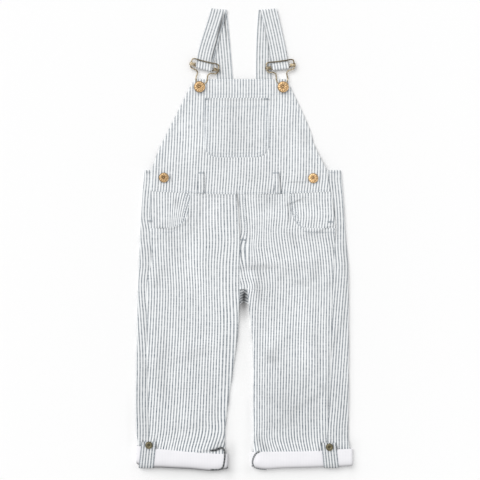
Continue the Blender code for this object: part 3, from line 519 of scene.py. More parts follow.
# Sewing
STITCH = 2.4  # length of one topstitch
STITCH_PITCH = 3.1
THREAD = 0.32  # half the width of a stitch
TACK_STEP = 0.75  # spacing of the close stitches of a bar tack
AIM = 0.6  # how far before and after a stitch its direction is read
SPINDLE = ((-0.5, 0.12), (-0.34, 0.85), (0.0, 1.0), (0.34, 0.85), (0.5, 0.12))  # place, thickness
OPENING_TACKS = {"left": ((-145.3, 374.3), (-137.6, 374.6)), "right": ((124.6, 373.2), (133.2, 373.0))}
TWIN_ROWS = {"hip": (1.8, 6.6), "chest": (1.8, 6.4)}  # insets of a pocket's two rows of stitches
HIP_STITCH = {"length": 2.6, "pitch": 4.0, "half": 0.5}
BIB_ROWS = (2.0, 22.4)  # how far below the bib's top
BIB_SIDE_ROW = 7.2  # how far inside its slanted edges
WAIST_ROW = (-136.0, 127.0)
BIB_SLANT = 0.5  # sideways run of the bib's edges for each millimetre down
BIB_HEM = 24.0
SIDE_HEM = 8.0
POCKET_HEM = 15.0
POCKET_TACK = (0.5, 8.0)  # ends of a bar tack, from the pocket's edge
POCKET_LAYOUT = 0.35  # shift of the chest pocket's stripes against the bib's
FACING_LAYOUT = 0.3

# Points of the larger grids
MOUTH_POINTS = 44
WAIST_POINTS = 30
LEG_ROWS = (112, 66)  # below and above the crotch
BACK_ROWS = (100, 84)
BIB_GRID = (92, 140)
BACK_BIB_GRID = (30, 60)
SCOOP_DETAIL = 900
POCKET_ROW_POINTS = 160
BIB_ROW_POINTS = 120

SIDES = ("left", "right")
INWARD = {"left": 1.0, "right": -1.0}


def columns(names, rows):
    """A table as one array for each named column."""
    return dict(zip(names, np.array(rows, dtype=float).T))


LEGS = {"left": columns(LEG_COLUMNS, LEFT_LEG), "right": columns(LEG_COLUMNS, RIGHT_LEG)}
CENTRE_LINE = columns(CENTRE_COLUMNS, CENTRE_FRONT)
BIB_LINES = columns(BIB_COLUMNS, BIB)
BACK_BIB_LINES = columns(BIB_COLUMNS, BACK_BIB)
CUFFS = {"left": columns(CUFF_COLUMNS, LEFT_CUFF), "right": columns(CUFF_COLUMNS, RIGHT_CUFF)}
FOLD_LINES = columns(FOLD_COLUMNS, FOLDS + CREASES)
DARK_LINES = columns(DARK_COLUMNS, DARKS)
FLOOR_LINES = columns(DARK_COLUMNS, FLOOR_DARKS)


# ---------------------------------------------------------------- form of the garment


def cubic(keys, values, at):
    """Values at any place along increasing keys, on a cubic curve whose slope at each key is the mean
    slope between its neighbours."""
    slopes = np.gradient(values, keys)
    i = np.clip(np.searchsorted(keys, at) - 1, 0, len(keys) - 2)
    step = keys[i + 1] - keys[i]
    s = np.clip((at - keys[i]) / step, 0.0, 1.0)
    start = (1 + 2 * s) * (1 - s) ** 2 * values[i] + s * (1 - s) ** 2 * step * slopes[i]
    end = s * s * (3 - 2 * s) * values[i + 1] + s * s * (s - 1) * step * slopes[i + 1]
    return start + end


def read(table, name, at, key="height"):
    """One column of a table at any place along its key column."""
    return cubic(table[key], table[name], at)


def ease(t):
    """A soft step from 0 to 1 as t goes from 0 to 1."""
    t = np.clip(t, 0.0, 1.0)
    return t * t * (3 - 2 * t)


def bell(t):
    """1 at the middle, falling to a third at a distance of 1."""
    return np.exp(-(t * t))


def unit(vectors):
    """Vectors of the same directions and length 1."""
    return vectors / np.maximum(np.linalg.norm(vectors, axis=-1, keepdims=True), 1e-9)


def stack(*parts):
    """Coordinates given one by one, in arrays or numbers, as an array of points."""
    return np.stack(np.broadcast_arrays(*parts), axis=-1).astype(float)


def run_along(path):
    """Length along a path up to each of its points."""
    return np.concatenate([[0.0], np.cumsum(np.linalg.norm(np.diff(path, axis=0), axis=1))])


def along_path(path, places):
    """Points at given lengths along a path, on the straight lines between its own."""
    run = run_along(path)
    return np.stack([np.interp(places, run, path[:, i]) for i in range(path.shape[1])], axis=1)


def even_steps(path, count):
    """The same path as points at even steps."""
    return along_path(path, np.linspace(0, run_along(path)[-1], count))


def waist(x):
    """Height of the waist seam, which rises in a parabola towards both sides."""
    return WAIST + WAIST_RISE * (x / HALF_WAIST) ** 2


def seam_x(side, height):
    """Side seam, where a front leg ends on the turned back."""
    return read(LEGS[side], "seam", height)


def inner_x(side, height):
    """Inner edge of a front leg: the centre seam above the crotch and the inner leg below it."""
    seam = read(CENTRE_LINE, "seam", height) - INWARD[side] * SEAM / 2
    return np.where(height > FRONT_CROTCH, seam, read(LEGS[side], "inner", height))


def cuff_edge(side, name, x):
    """Height of a cuff's edge, top or bottom."""
    return read(CUFFS[side], name, x, key="x")


def climb(side, x, height):
    """How far a leg stands off the floor near its cuff, whose back lies under it."""
    above = height - cuff_edge(side, "top", x) - 2.0
    return LAYER * (1 - ease(above / RAMP))


def scoop(side, count):
    """A hip pocket's mouth, a superellipse from the side seam to the waist seam, in even steps."""
    width, depth, squareness = SCOOPS[side]
    turn = np.linspace(math.pi / 2, 0.0, SCOOP_DETAIL)
    across = np.abs(np.cos(turn)) ** (2 / squareness)
    down = np.abs(np.sin(turn)) ** (2 / squareness)
    high = waist(seam_x(side, WAIST)) - SEAM / 2
    height = high - depth * down
    x = seam_x(side, height) + INWARD[side] * width * across
    return even_steps(np.column_stack([x, height]), count).T


def mouth_distance(side, x, height):
    """Distance of each point of a leg from its pocket's mouth."""
    mouth_x, mouth_height = scoop(side, 60)
    nearest = np.full(np.shape(x), 1e9)
    for mx, mh in zip(mouth_x, mouth_height):
        nearest = np.minimum(nearest, np.hypot(x - mx, height - mh))
    return nearest


def underlap(height):
    """How far the turned back reaches under the front's edge: more beside the side opening."""
    beside_vent = ease((height - VENT_END + 4) / 8) * (1 - ease((height - BACK_WAIST) / 12))
    return SEAM_UNDERLAP + (VENT_UNDERLAP - SEAM_UNDERLAP) * beside_vent


def calm(x, height):
    """1 inside the front panels, falling to 0 where they lie on the turned back at the side seams."""
    left = np.where(height < WAIST, seam_x("left", height), read(BIB_LINES, "left", height))
    right = np.where(height < WAIST, seam_x("right", height), read(BIB_LINES, "right", height))
    hidden = underlap(height)
    return ease((x - left - hidden) / CALM_EDGE) * ease((right - hidden - x) / CALM_EDGE)


def marks(lines, x, height):
    """How strongly each line of a table is felt: a bell across it that fades towards both ends."""
    for i in range(len(lines["x"])):
        line = {name: values[i] for name, values in lines.items()}
        lean = math.radians(line["lean"])
        dx, dh = x - line["x"], height - line["height"]
        along = dx * math.sin(lean) + dh * math.cos(lean)
        across = dx * math.cos(lean) - dh * math.sin(lean)
        yield line, np.exp(-((2 * along / line["length"]) ** 4)) * bell(across / line["width"])


def folds(x, height):
    """Rise of the cloth at its folds and creases."""
    total = np.zeros(np.shape(x))
    for line, felt in marks(FOLD_LINES, x, height):
        total += line["rise"] * felt
    return total


def daylight(lines, x, height):
    """Share of the light that reaches a place: less in the shadowed places of a table."""
    total = np.ones(np.shape(x))
    for line, felt in marks(lines, x, height):
        total *= 1 - line["share"] * felt
    return total


WAVES = 26
WAVE_LENGTHS = (16.0, 64.0)
WAVE_RISE = 0.0024  # height of a wave for each millimetre of its length
WAVE_SEED = 7


def unevenness(x, height):
    """Soft waves that no cloth is free of: sines of many lengths that run mostly along the garment."""
    rng = np.random.default_rng(WAVE_SEED)
    total = np.zeros(np.shape(x))
    for length in np.linspace(*WAVE_LENGTHS, WAVES):
        angle = rng.normal(0.0, 0.5)
        phase = rng.uniform(0, 2 * math.pi)
        drift = 6 * np.sin(height / 37 + phase) + 4 * np.sin(x / 29 + 2 * phase)
        across = x * math.cos(angle) + height * math.sin(angle) * 0.6 + drift
        total += WAVE_RISE * length * np.sin(2 * math.pi * across / length + phase)
    return total * 0.5


def relief(x, height):
    """Folds and unevenness of the front, gone at the side seams, the cuffs and the bib's top."""
    mask = calm(x, height) * ease((height - 46) / 16) * ease((BIB_TOP - height) / 20)
    return (folds(x, height) + unevenness(x, height)) * mask


def front_under(x, height):
    """Underside of the front: level over the turned back, lower along the bib's slanted edges."""
    left, right = read(BIB_LINES, "left", height), read(BIB_LINES, "right", height)
    off_centre = np.abs(2 * x - left - right) / (right - left)
    bib = BIB_LOW + BIB_CROWN * (1 - np.clip(off_centre, 0, 1) ** 2)
    share = ease((height - BACK_WAIST - 5) / 48)
    return FRONT * (1 - share) + bib * share + relief(x, height)


def front_top(x, height):
    """Top of the front's own cloth."""
    return front_under(x, height) + CLOTH


def patch_top(x, height):
    """Top of the front's cloth raised by the gap and thickness of one more layer."""
    return front_top(x, height) + LAYER


def band_top(x, height):
    """Top of the turned side bands, which lie level."""
    return np.full(np.shape(x), EDGE)


def leg_top(side, x, height):
    """Top of a front leg: one layer higher over the pocket's facing, and over the cuff's back."""
    lift = LAYER * (1 - ease((mouth_distance(side, x, height) - MOUTH_LIFT) / MOUTH_SLOPE))
    return front_top(x, height) + climb(side, x, height) + lift


# ---------------------------------------------------------------- stripes


def stripe_count(rows, counts, x, height):
    """Which stripe a place is on: between two tabled stripes it is shared out evenly, and beyond the
    outer ones it goes on at the cloth's own stripe width."""
    table = np.array(rows, dtype=float)
    keys = table[:, 0]
    lines = [cubic(keys, table[:, i], height) for i in range(1, table.shape[1])]
    total = counts[0] + np.minimum(x - lines[0], 0) / STRIPE + np.maximum(x - lines[-1], 0) / STRIPE
    for low, high, a, b in zip(lines, lines[1:], counts, counts[1:]):
        total = total + (b - a) * np.clip((x - low) / (high - low), 0, 1)
    return total


def front_stripes(side, x, height):
    """Stripes of a front leg."""
    return stripe_count(*LEG_GRAIN[side], x, height)


def bib_stripes(x, height):
    """Stripes of the front bib, which those of its pocket follow."""
    return stripe_count(BIB_GRAIN, BIB_GRAIN_COUNTS, x, height)


# ---------------------------------------------------------------- meshes


BAND_SHADE = 0.05  # painted shade: the straps and the turned side bands are painted a little darker than the front
RELIEF_SHADE = 0.055  # painted light: how much lighter each millimetre of a fold's rise paints the cloth, and darker each millimetre of a hollow
MARKS_FROM = 0.2  # height at which the painted marks of shade begin
MARKS_GROW = 0.7  # further height over which they grow to their full strength


def cloth_light(x, height):
    """Painted light on the garment, as a share of the daylight: shadowed places, and a little for each fold's
    rise.
    """
    return daylight(DARK_LINES, x, height) * (1 + RELIEF_SHADE * np.clip(relief(x, height), -1.5, 1.0))


def floor_light(x, height):
    """Painted shadows and light on the floor round the garment, as a share of the daylight."""
    return daylight(FLOOR_LINES, x, height)


def bare_light(x, height):
    """No painted marks of shade fall on the metal, which stands proud of the cloth."""
    return np.ones(np.shape(x))


def mesh_piece(name, points, faces, material, uv=None, sharp=50, tone=1.0, lit=cloth_light):
    """A mesh object at the origin, from points in garment millimetres. Its attribute light is painted light
    and shade: the share of daylight on it, times its tone, which the cloth, metal and floor materials
    multiply into their colour. Upright faces aren't marked, nor is the garment's underside, from which
    the marks grow in with height; the floor lies below 0."""
    plan = np.asarray(points, dtype=float).reshape(-1, 3)
    points = (plan - (*ORIGIN, 0.0)) * MM
    faces = np.asarray(faces)
    mesh = bpy.data.meshes.new(name)
    mesh.from_pydata(points.tolist(), [], faces.tolist())
    normals = np.empty(len(plan) * 3, dtype=np.float32)
    mesh.vertex_normals.foreach_get("vector", normals)
    raised = np.maximum(ease((plan[:, 2] - MARKS_FROM) / MARKS_GROW), plan[:, 2] < 0)
    upward = ease(np.abs(normals.reshape(-1, 3)[:, 2]) * 3) * raised
    light = (1 - upward + upward * lit(plan[:, 0], plan[:, 1])) * tone
    mesh.attributes.new("light", "FLOAT", "POINT").data.foreach_set("value", light.astype(np.float32))
    if uv is not None:
        layer = mesh.uv_layers.new(name="grain")
        layer.data.foreach_set("uv", np.asarray(uv, dtype=np.float32).reshape(-1, 2)[faces.ravel()].ravel())
    mesh.materials.append(material)
    mesh.shade_smooth()
    mesh.set_sharp_from_angle(angle=math.radians(sharp))
    made = bpy.data.objects.new(name, mesh)
    bpy.context.scene.collection.objects.link(made)
    return made


def grid_quads(rows, cols, start=0, wrap_rows=False, wrap_cols=False):
    """Corner numbers of a grid's cells, counter-clockwise where columns run right and rows run up."""
    r = np.arange(rows if wrap_rows else rows - 1)[:, None]
    c = np.arange(cols if wrap_cols else cols - 1)[None, :]
    r2, c2 = (r + 1) % rows, (c + 1) % cols
    corners = [r * cols + c, r * cols + c2, r2 * cols + c2, r2 * cols + c]
    return np.stack(np.broadcast_arrays(*corners), axis=-1).reshape(-1, 4) + start


def rim_index(rows, cols):
    """Numbers of the points round a grid's rim, in order."""
    index = np.arange(rows * cols).reshape(rows, cols)
    return np.concatenate([index[0], index[1:, -1], index[-1, -2::-1], index[-2:0:-1, 0]])


def grid_normals(points):
    """Unit normals of a grid: across its columns, crossed with along its rows."""
    return unit(np.cross(np.gradient(points, axis=1), np.gradient(points, axis=0)))


def rightwards(side, *grids):
    """Grids whose columns run inwards from a side, turned round for the right side, so that their
    columns run from left to right."""
    return grids if side == "left" else [grid[:, ::-1] for grid in grids]


def cloth_shell(name, outer, uv, material, up=None, wall=CLOTH, tone=1.0, rim_steps=3):
    """A sheet of cloth: the outer grid, the same grid one thickness inside it, and between their rims
    a half circle pressed flat, which bulges away from the sheet by RIM."""
    rows, cols = outer.shape[:2]
    normal = grid_normals(outer) if up is None else np.broadcast_to(np.array(up, dtype=float), outer.shape)
    inner = outer - normal * stack(wall)
    tone = np.broadcast_to(tone, (rows, cols)).ravel()
    away = np.zeros_like(outer)
    away[0] += outer[0] - outer[1]
    away[-1] += outer[-1] - outer[-2]
    away[:, 0] += outer[:, 0] - outer[:, 1]
    away[:, -1] += outer[:, -1] - outer[:, -2]
    rim = rim_index(rows, cols)
    push = unit(away.reshape(-1, 3)[rim])
    above, below = outer.reshape(-1, 3)[rim], inner.reshape(-1, 3)[rim]
    middle, half = (above + below) / 2, (above - below) / 2
    flat_uv = uv.reshape(-1, 2)

    points, maps = [outer.reshape(-1, 3), inner.reshape(-1, 3)], [flat_uv, flat_uv]
    tones = [tone, tone]
    faces = [grid_quads(rows, cols), grid_quads(rows, cols, rows * cols)[:, ::-1]]
    count = rows * cols
    rings = [rim]
    for step in range(1, rim_steps + 1):
        turn = math.pi * step / (rim_steps + 1)
        points.append(middle + half * math.cos(turn) + push * RIM * math.sin(turn))
        maps.append(flat_uv[rim])
        tones.append(tone[rim])
        rings.append(2 * count + (step - 1) * len(rim) + np.arange(len(rim)))
    rings.append(rim + count)
    for a, b in zip(rings, rings[1:]):
        faces.append(np.stack([b, np.roll(b, -1), np.roll(a, -1), a], axis=1))
    points, faces, maps = np.concatenate(points), np.concatenate(faces), np.concatenate(maps)
    return mesh_piece(name, points, faces, material, maps, tone=np.concatenate(tones))


def finish_cloth(piece, node, sewing=()):
    """A cloth piece stands for its solid and rides with it."""
    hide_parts(node)
    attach(piece, "root")
    return piece


def tube(path, radius, sides=12, closed=False):
    """Points of a round wire: at each place of a path a ring square to it, turned by the upright
    direction, so that a wire that lies nearly level has no twist."""
    path = np.asarray(path, dtype=float)
    if closed:
        tangent = np.roll(path, -1, axis=0) - np.roll(path, 1, axis=0)
    else:
        tangent = np.gradient(path, axis=0)
    tangent = unit(tangent)
    side = unit(np.cross(tangent, (0.0, 0.0, 1.0)))
    up = np.cross(side, tangent)
    angle = np.linspace(0, 2 * math.pi, sides, endpoint=False)[:, None]
    ring = side[:, None] * np.cos(angle) + up[:, None] * np.sin(angle)
    radius = np.broadcast_to(np.asarray(radius, dtype=float).reshape(-1, 1, 1), (len(path), 1, 1))
    return path[:, None] + ring * radius


def wire_mesh(path, radius, sides=12, closed=False):
    """Points and faces of a wire; an open one ends in rings that shrink to a blunt tip."""
    path = np.asarray(path, dtype=float)
    if not closed:
        size = np.concatenate([[0.02, 0.7], np.full(len(path), 1.0), [0.7, 0.02]]) * radius
        first, last = unit(path[0] - path[1]), unit(path[-1] - path[-2])
        before = path[0] + first * radius * np.array([[0.55], [0.4]])
        after = path[-1] + last * radius * np.array([[0.4], [0.55]])
        path, radius = np.concatenate([before, path, after]), size
    rings = tube(path, radius, sides, closed)
    return rings.reshape(-1, 3), grid_quads(len(path), sides, wrap_rows=closed, wrap_cols=True)[:, ::-1]


def helix_mesh(path, radius, sides=10):
    """Points and faces of a wire that climbs steeply: its rings are turned by the direction in which
    the path bends."""
    tangent = unit(np.gradient(path, axis=0))
    bend = np.gradient(tangent, axis=0)
    bend = unit(bend - (bend * tangent).sum(axis=1, keepdims=True) * tangent)
    other = np.cross(tangent, bend)
    angle = np.linspace(0, 2 * math.pi, sides, endpoint=False)[:, None]
    size = np.full(len(path), radius)
    size[[0, -1]] = TIP
    ring = bend[:, None] * np.cos(angle) + other[:, None] * np.sin(angle)
    points = path[:, None] + ring * size[:, None, None]
    return points.reshape(-1, 3), grid_quads(len(path), sides, wrap_cols=True)


def join(parts):
    """Several (points, faces) as one."""
    points, faces, start = [], [], 0
    for part_points, part_faces in parts:
        points.append(part_points)
        faces.append(part_faces + start)
        start += len(part_points)
    return np.concatenate(points), np.concatenate(faces)


# ---------------------------------------------------------------- materials


SHARE, FIRST, SECOND = 0, 6, 7  # sockets of a Mix node that mixes colours
COLOURS = {"out": 2, "data_type": "RGBA"}


def linear(code):
    """An sRGB hex colour as linear red, green, blue and alpha."""
    channels = [int(code[i : i + 2], 16) / 255 for i in (0, 2, 4)]
    return (*(c / 12.92 if c <= 0.04045 else ((c + 0.055) / 1.055) ** 2.4 for c in channels), 1.0)


def add(tree, kind, inputs=None, out=0, **settings):
    """One node with its settings, and one of its output sockets as the result. Each input is set to a
    value or linked to another node's socket."""
    made = tree.nodes.new(kind)
    for name, value in settings.items():
        setattr(made, name, value)
    for name, value in (inputs or {}).items():
        if isinstance(value, bpy.types.NodeSocket):
            tree.links.new(value, made.inputs[name])
        else:
            made.inputs[name].default_value = value
    return made.outputs[out]


def new_material(name, finish):
    """A material with its node tree and its shader, whose own sockets are set from a finish."""
    material = bpy.data.materials.new(name)
    material.use_nodes = True
    tree = material.node_tree
    shader = tree.nodes["Principled BSDF"]
    for socket, value in finish.items():
        shader.inputs[socket].default_value = value
    return material, tree, shader


def streaks(tree, grain, stretch, **inputs):
    """Noise on a cloth's stripe coordinates, drawn out along or across them."""
    placed = add(tree, "ShaderNodeMapping", {"Vector": grain, "Scale": (*stretch, 1.0)})
    return add(tree, "ShaderNodeTexNoise", {"Vector": placed, "Scale": 1.0, **inputs})


def shaded(tree, colour, share):
    """A colour times a grey with the same share of red, green and blue."""
    grey = add(tree, "ShaderNodeCombineColor", {"Red": share, "Green": share, "Blue": share})
    colours = {SHARE: 1.0, FIRST: colour, SECOND: grey}
    return add(tree, "ShaderNodeMix", colours, blend_type="MULTIPLY", **COLOURS)


def lit_colour(tree, colour):
    """A colour times the piece's own light attribute, its painted light and shade."""
    return shaded(tree, colour, add(tree, "ShaderNodeAttribute", out="Fac", attribute_name="light"))


DARK_SHARE = 0.46  # share of a stripe's width that is dyed
STRIPE_EDGE = 0.04  # half the width of the blur at its edges
WANDER = 0.16  # how far its edges wander
THREADS = 8  # warp threads drawn across one stripe; the cloth has about 10, too fine to show
SLATE = "4F5F6D"
CHALK = "FCFEFF"
BLEACHED = ("F1F0F4", "F8F7FA")
DYE_TRACE = "A9B2BC"
FLUFF = "C9D0D6"
TWISTS = 1800.0  # turns of a thread's twist in a metre, 0.55 mm each
WORN_PATCHES = 420.0  # worn patches of a plated metal in a metre, about 2.4 mm each


def striped_cotton():
    """Yarn-dyed ticking, a plain weave of cotton: slate-blue warp stripes on white, crossed by a white
    weft, so that the dark stripes are broken by it and thick places of the weft show as pale dashes."""
    finish = {"Roughness": 0.92, "Sheen Weight": 0.08, "Sheen Roughness": 0.5, "Specular IOR Level": 0.25}
    material, tree, shader = new_material("yarn-dyed cotton ticking", finish)
    grain = add(tree, "ShaderNodeUVMap", uv_map="grain")
    u = add(tree, "ShaderNodeSeparateXYZ", {"Vector": grain})
    v = u.node.outputs["Y"]

    # Dyed stripes with uneven edges
    wander = streaks(tree, grain, (0.9, 0.35), Detail=2.0)
    centred = add(tree, "ShaderNodeMath", {0: wander, 1: 0.5}, operation="SUBTRACT")
    moved = add(tree, "ShaderNodeMath", {0: centred, 1: WANDER, 2: u}, operation="MULTIPLY_ADD")
    off = add(tree, "ShaderNodeMath", {0: moved, 1: 0.5}, operation="PINGPONG")
    dyed = add(tree, "ShaderNodeMapRange", {
        "Value": off, "From Min": DARK_SHARE / 2 - STRIPE_EDGE, "From Max": DARK_SHARE / 2 + STRIPE_EDGE,
        "To Min": 1.0, "To Max": 0.0}, interpolation_type="SMOOTHSTEP")

    # Warp and weft threads, and the thick places of both
    threads = []
    for place in (u, v):
        turns = add(tree, "ShaderNodeMath", {0: place, 1: math.pi * THREADS}, operation="MULTIPLY")
        threads.append(add(tree, "ShaderNodeMath", {0: turns}, operation="SINE"))
    weave = add(tree, "ShaderNodeMath", {0: threads[0], 1: threads[1]}, operation="MULTIPLY")
    checker = add(tree, "ShaderNodeMath", {0: weave, 1: 0.14, 2: 0.92}, operation="MULTIPLY_ADD")
    slub = streaks(tree, grain, (0.32, 1.9), Detail=3.0, Roughness=0.65)
    crossing = add(tree, "ShaderNodeMapRange", {
        "Value": slub, "From Min": 0.38, "From Max": 0.72, "To Min": 1.02, "To Max": 0.55})
    thick = streaks(tree, grain, (1.7, 0.42), Detail=2.0)
    strength = add(tree, "ShaderNodeMapRange", {
        "Value": thick, "From Min": 0.3, "From Max": 0.7, "To Min": 0.76, "To Max": 1.0})

    # The dye is a little paler towards the shoulders
    garment = add(tree, "ShaderNodeTexCoord", out="Object")
    up = add(tree, "ShaderNodeSeparateXYZ", {"Vector": garment}, out="Y")
    depth = add(tree, "ShaderNodeMapRange", {
        "Value": up, "From Min": -0.3, "From Max": 0.3, "To Min": 1.0, "To Max": 0.84})
    share = dyed
    for factor in (strength, crossing, checker, depth):
        share = add(tree, "ShaderNodeMath", {0: share, 1: factor}, operation="MULTIPLY")

    # The white between, greyer at the thin places of the weft
    thin = add(tree, "ShaderNodeMapRange", {
        "Value": slub, "From Min": 0.3, "From Max": 0.75, "To Min": 0.955, "To Max": 1.0})
    white = shaded(tree, linear(CHALK), thin)
    cloth = add(tree, "ShaderNodeMix", {SHARE: share, FIRST: white, SECOND: linear(SLATE)}, **COLOURS)
    tree.links.new(lit_colour(tree, cloth), shader.inputs["Base Color"])

    height = add(tree, "ShaderNodeMath", {0: weave, 1: 0.5, 2: slub}, operation="MULTIPLY_ADD")
    bump = add(tree, "ShaderNodeBump", {"Height": height, "Strength": 0.25, "Distance": 0.0002})
    tree.links.new(bump, shader.inputs["Normal"])
    return material


def white_cotton():
    """The cloth's inside at the turned-up cuffs: bleached weft, which hides all but a trace of the dye."""
    finish = {"Roughness": 0.9, "Specular IOR Level": 0.25}
    material, tree, shader = new_material("bleached cotton inside", finish)
    grain = add(tree, "ShaderNodeUVMap", uv_map="grain")
    u = add(tree, "ShaderNodeSeparateXYZ", {"Vector": grain})
    off = add(tree, "ShaderNodeMath", {0: u, 1: 0.5}, operation="PINGPONG")
    trace = add(tree, "ShaderNodeMapRange", {
        "Value": off, "From Min": 0.12, "From Max": 0.3, "To Min": 0.03, "To Max": 0.0})
    cloud = streaks(tree, grain, (0.4, 1.2), Detail=4.0)
    low, high = (linear(code) for code in BLEACHED)
    white = add(tree, "ShaderNodeMix", {SHARE: cloud, FIRST: low, SECOND: high}, **COLOURS)
    cloth = add(tree, "ShaderNodeMix", {SHARE: trace, FIRST: white, SECOND: linear(DYE_TRACE)}, **COLOURS)
    tree.links.new(lit_colour(tree, cloth), shader.inputs["Base Color"])
    bump = add(tree, "ShaderNodeBump", {"Height": cloud, "Strength": 0.2, "Distance": 0.0003})
    tree.links.new(bump, shader.inputs["Normal"])
    return material


def sewing_thread(name, code):
    """Matt cotton-wrapped thread: fine twist across each stitch."""
    material, tree, shader = new_material(name, {"Roughness": 0.8})
    place = add(tree, "ShaderNodeTexCoord", out="Object")
    twist = add(tree, "ShaderNodeTexNoise", {"Vector": place, "Scale": TWISTS, "Detail": 1.0})
    thread = add(tree, "ShaderNodeMix", {SHARE: twist, FIRST: linear(code), SECOND: linear(FLUFF)}, **COLOURS)
    tree.links.new(thread, shader.inputs["Base Color"])
    return material


def plated_metal(name, light, dark, roughness, embossed=False):
    """Plated steel, tumbled to look old: bright and smoother on what rubs, brown where it doesn't. An
    embossed piece is bright on its raised places, which v of its UV map gives."""
    material, tree, shader = new_material(name, {"Metallic": 1.0})
    place = add(tree, "ShaderNodeTexCoord", out="Object")
    patina = add(tree, "ShaderNodeTexNoise", {"Vector": place, "Scale": WORN_PATCHES, "Detail": 4.0})
    worn = add(tree, "ShaderNodeMapRange", {"Value": patina, "From Min": 0.35, "From Max": 0.65})
    if embossed:
        relief = add(tree, "ShaderNodeUVMap", uv_map="grain")
        raised = add(tree, "ShaderNodeSeparateXYZ", {"Vector": relief}, out="Y")
        worn = add(tree, "ShaderNodeMath", {0: worn, 1: 0.35, 2: raised}, operation="MULTIPLY_ADD")
        worn = add(tree, "ShaderNodeMapRange", {"Value": worn, "From Min": 0.15, "From Max": 1.0})
    plate = add(tree, "ShaderNodeMix", {SHARE: worn, FIRST: linear(dark), SECOND: linear(light)}, **COLOURS)
    tree.links.new(lit_colour(tree, plate), shader.inputs["Base Color"])
    rough = add(tree, "ShaderNodeMapRange", {
        "Value": patina, "From Min": 0.3, "From Max": 0.7, "To Min": roughness + 0.12, "To Max": roughness})
    tree.links.new(rough, shader.inputs["Roughness"])
    return material


COTTON = striped_cotton()
INSIDE = white_cotton()
TOPSTITCH = sewing_thread("grey-blue topstitch thread", "B6BFC9")
POCKET_THREAD = sewing_thread("slate pocket thread", "76828E")
TACKING = sewing_thread("slate bar tack thread", "5A6570")
BRASS = plated_metal("antique brass plate", "CFC2A9", "5E4D34", 0.36)
EMBOSSED = plated_metal("embossed antique brass", "D8B587", "5A4028", 0.36, embossed=True)
BRONZE = plated_metal("blackened bronze", "827A62", "2E281C", 0.42, embossed=True)


# ---------------------------------------------------------------- sewing


def recalculated(piece):
    """The same mesh with every face turned outwards."""
    bm = bmesh.new()
    bm.from_mesh(piece.data)
    bmesh.ops.recalc_face_normals(bm, faces=bm.faces)
    bm.to_mesh(piece.data)
    bm.free()
    return piece


def stitch_mesh(path, length=STITCH, pitch=STITCH_PITCH, half=THREAD, across=None):
    """Stitches along a path: each is a spindle with four sides, thick in the middle and pointed at both
    ends, sunk a little into the cloth. With across given, each lies square to the path instead."""
    path = np.asarray(path, dtype=float)
    whole = run_along(path)[-1]
    count = max(1, int(whole / pitch))
    places = (np.arange(count) + 0.5) * whole / count
    centre = along_path(path, places)
    ahead, behind = (along_path(path, np.clip(places + step, 0, whole)) for step in (AIM, -AIM))
    along = unit(ahead - behind)
    side = unit(np.cross(along, (0.0, 0.0, 1.0)))
    if across is not None:
        along, side = side, along
        length = across
    up = np.cross(side, along)
    up *= np.sign(up[:, 2:3])
    place, size = np.array(SPINDLE).T
    turn = np.linspace(0, 2 * math.pi, 4, endpoint=False) + math.pi / 4
    spine = centre[:, None] + along[:, None] * (place * length)[:, None]
    around = side[:, None, None] * np.cos(turn)[:, None] + up[:, None, None] * np.sin(turn)[:, None] * 0.8
    points = spine[:, :, None] + around * (size * half)[:, None, None]
    corners = points.shape[1] * points.shape[2]
    ends = [[3, 2, 1, 0]], [[corners - 4, corners - 3, corners - 2, corners - 1]]
    one = np.concatenate([grid_quads(len(SPINDLE), 4, wrap_cols=True), *ends])
    faces = (one[None] + (np.arange(count) * corners)[:, None, None]).reshape(-1, 4)
    return points.reshape(-1, 3), faces


def sewn_on(piece):
    """A piece without a solid of its own, which rides with the cloth."""
    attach(piece, "root")
    return recalculated(piece)


def sew(name, parts, material=TOPSTITCH):
    """Rows of stitches as one piece."""
    return sewn_on(mesh_piece(name, *join(parts), material))


def row_on(top, x, height, proud=0.1):
    """A row of sewing along plan points, on a surface given by its top."""
    x, height = np.asarray(x, dtype=float), np.asarray(height, dtype=float)
    return np.column_stack([x, height, top(x, height) + proud])


def bar_tack(top, start, end, width=2.2):
    """Close stitches square to a short line."""
    t = np.linspace(0, 1, 12)
    x = start[0] + (end[0] - start[0]) * t
    height = start[1] + (end[1] - start[1]) * t
    return stitch_mesh(row_on(top, x, height, 0.25), pitch=TACK_STEP, half=0.4, across=width)


# ---------------------------------------------------------------- cloth pieces


def pressed(distance, depth=0.7, width=2.6):
    """How much thinner a patch is at its sewn edge."""
    return depth * (1 - ease(distance / width))


def hem_swell(distance, width=9.0, rise=0.45, row=None):
    """A turned hem: the cloth is a little thicker within its width of the edge, dips at the row of
    stitches and rolls off at the very edge."""
    row = width - 1.6 if row is None else row
    thick = rise * (1 - ease((distance - width + 0.8) / 2.4))
    dip = -0.32 * bell((distance - row) / 1.1)
    roll = -0.5 * (1 - ease(distance / 1.6))
    return thick + dip + roll


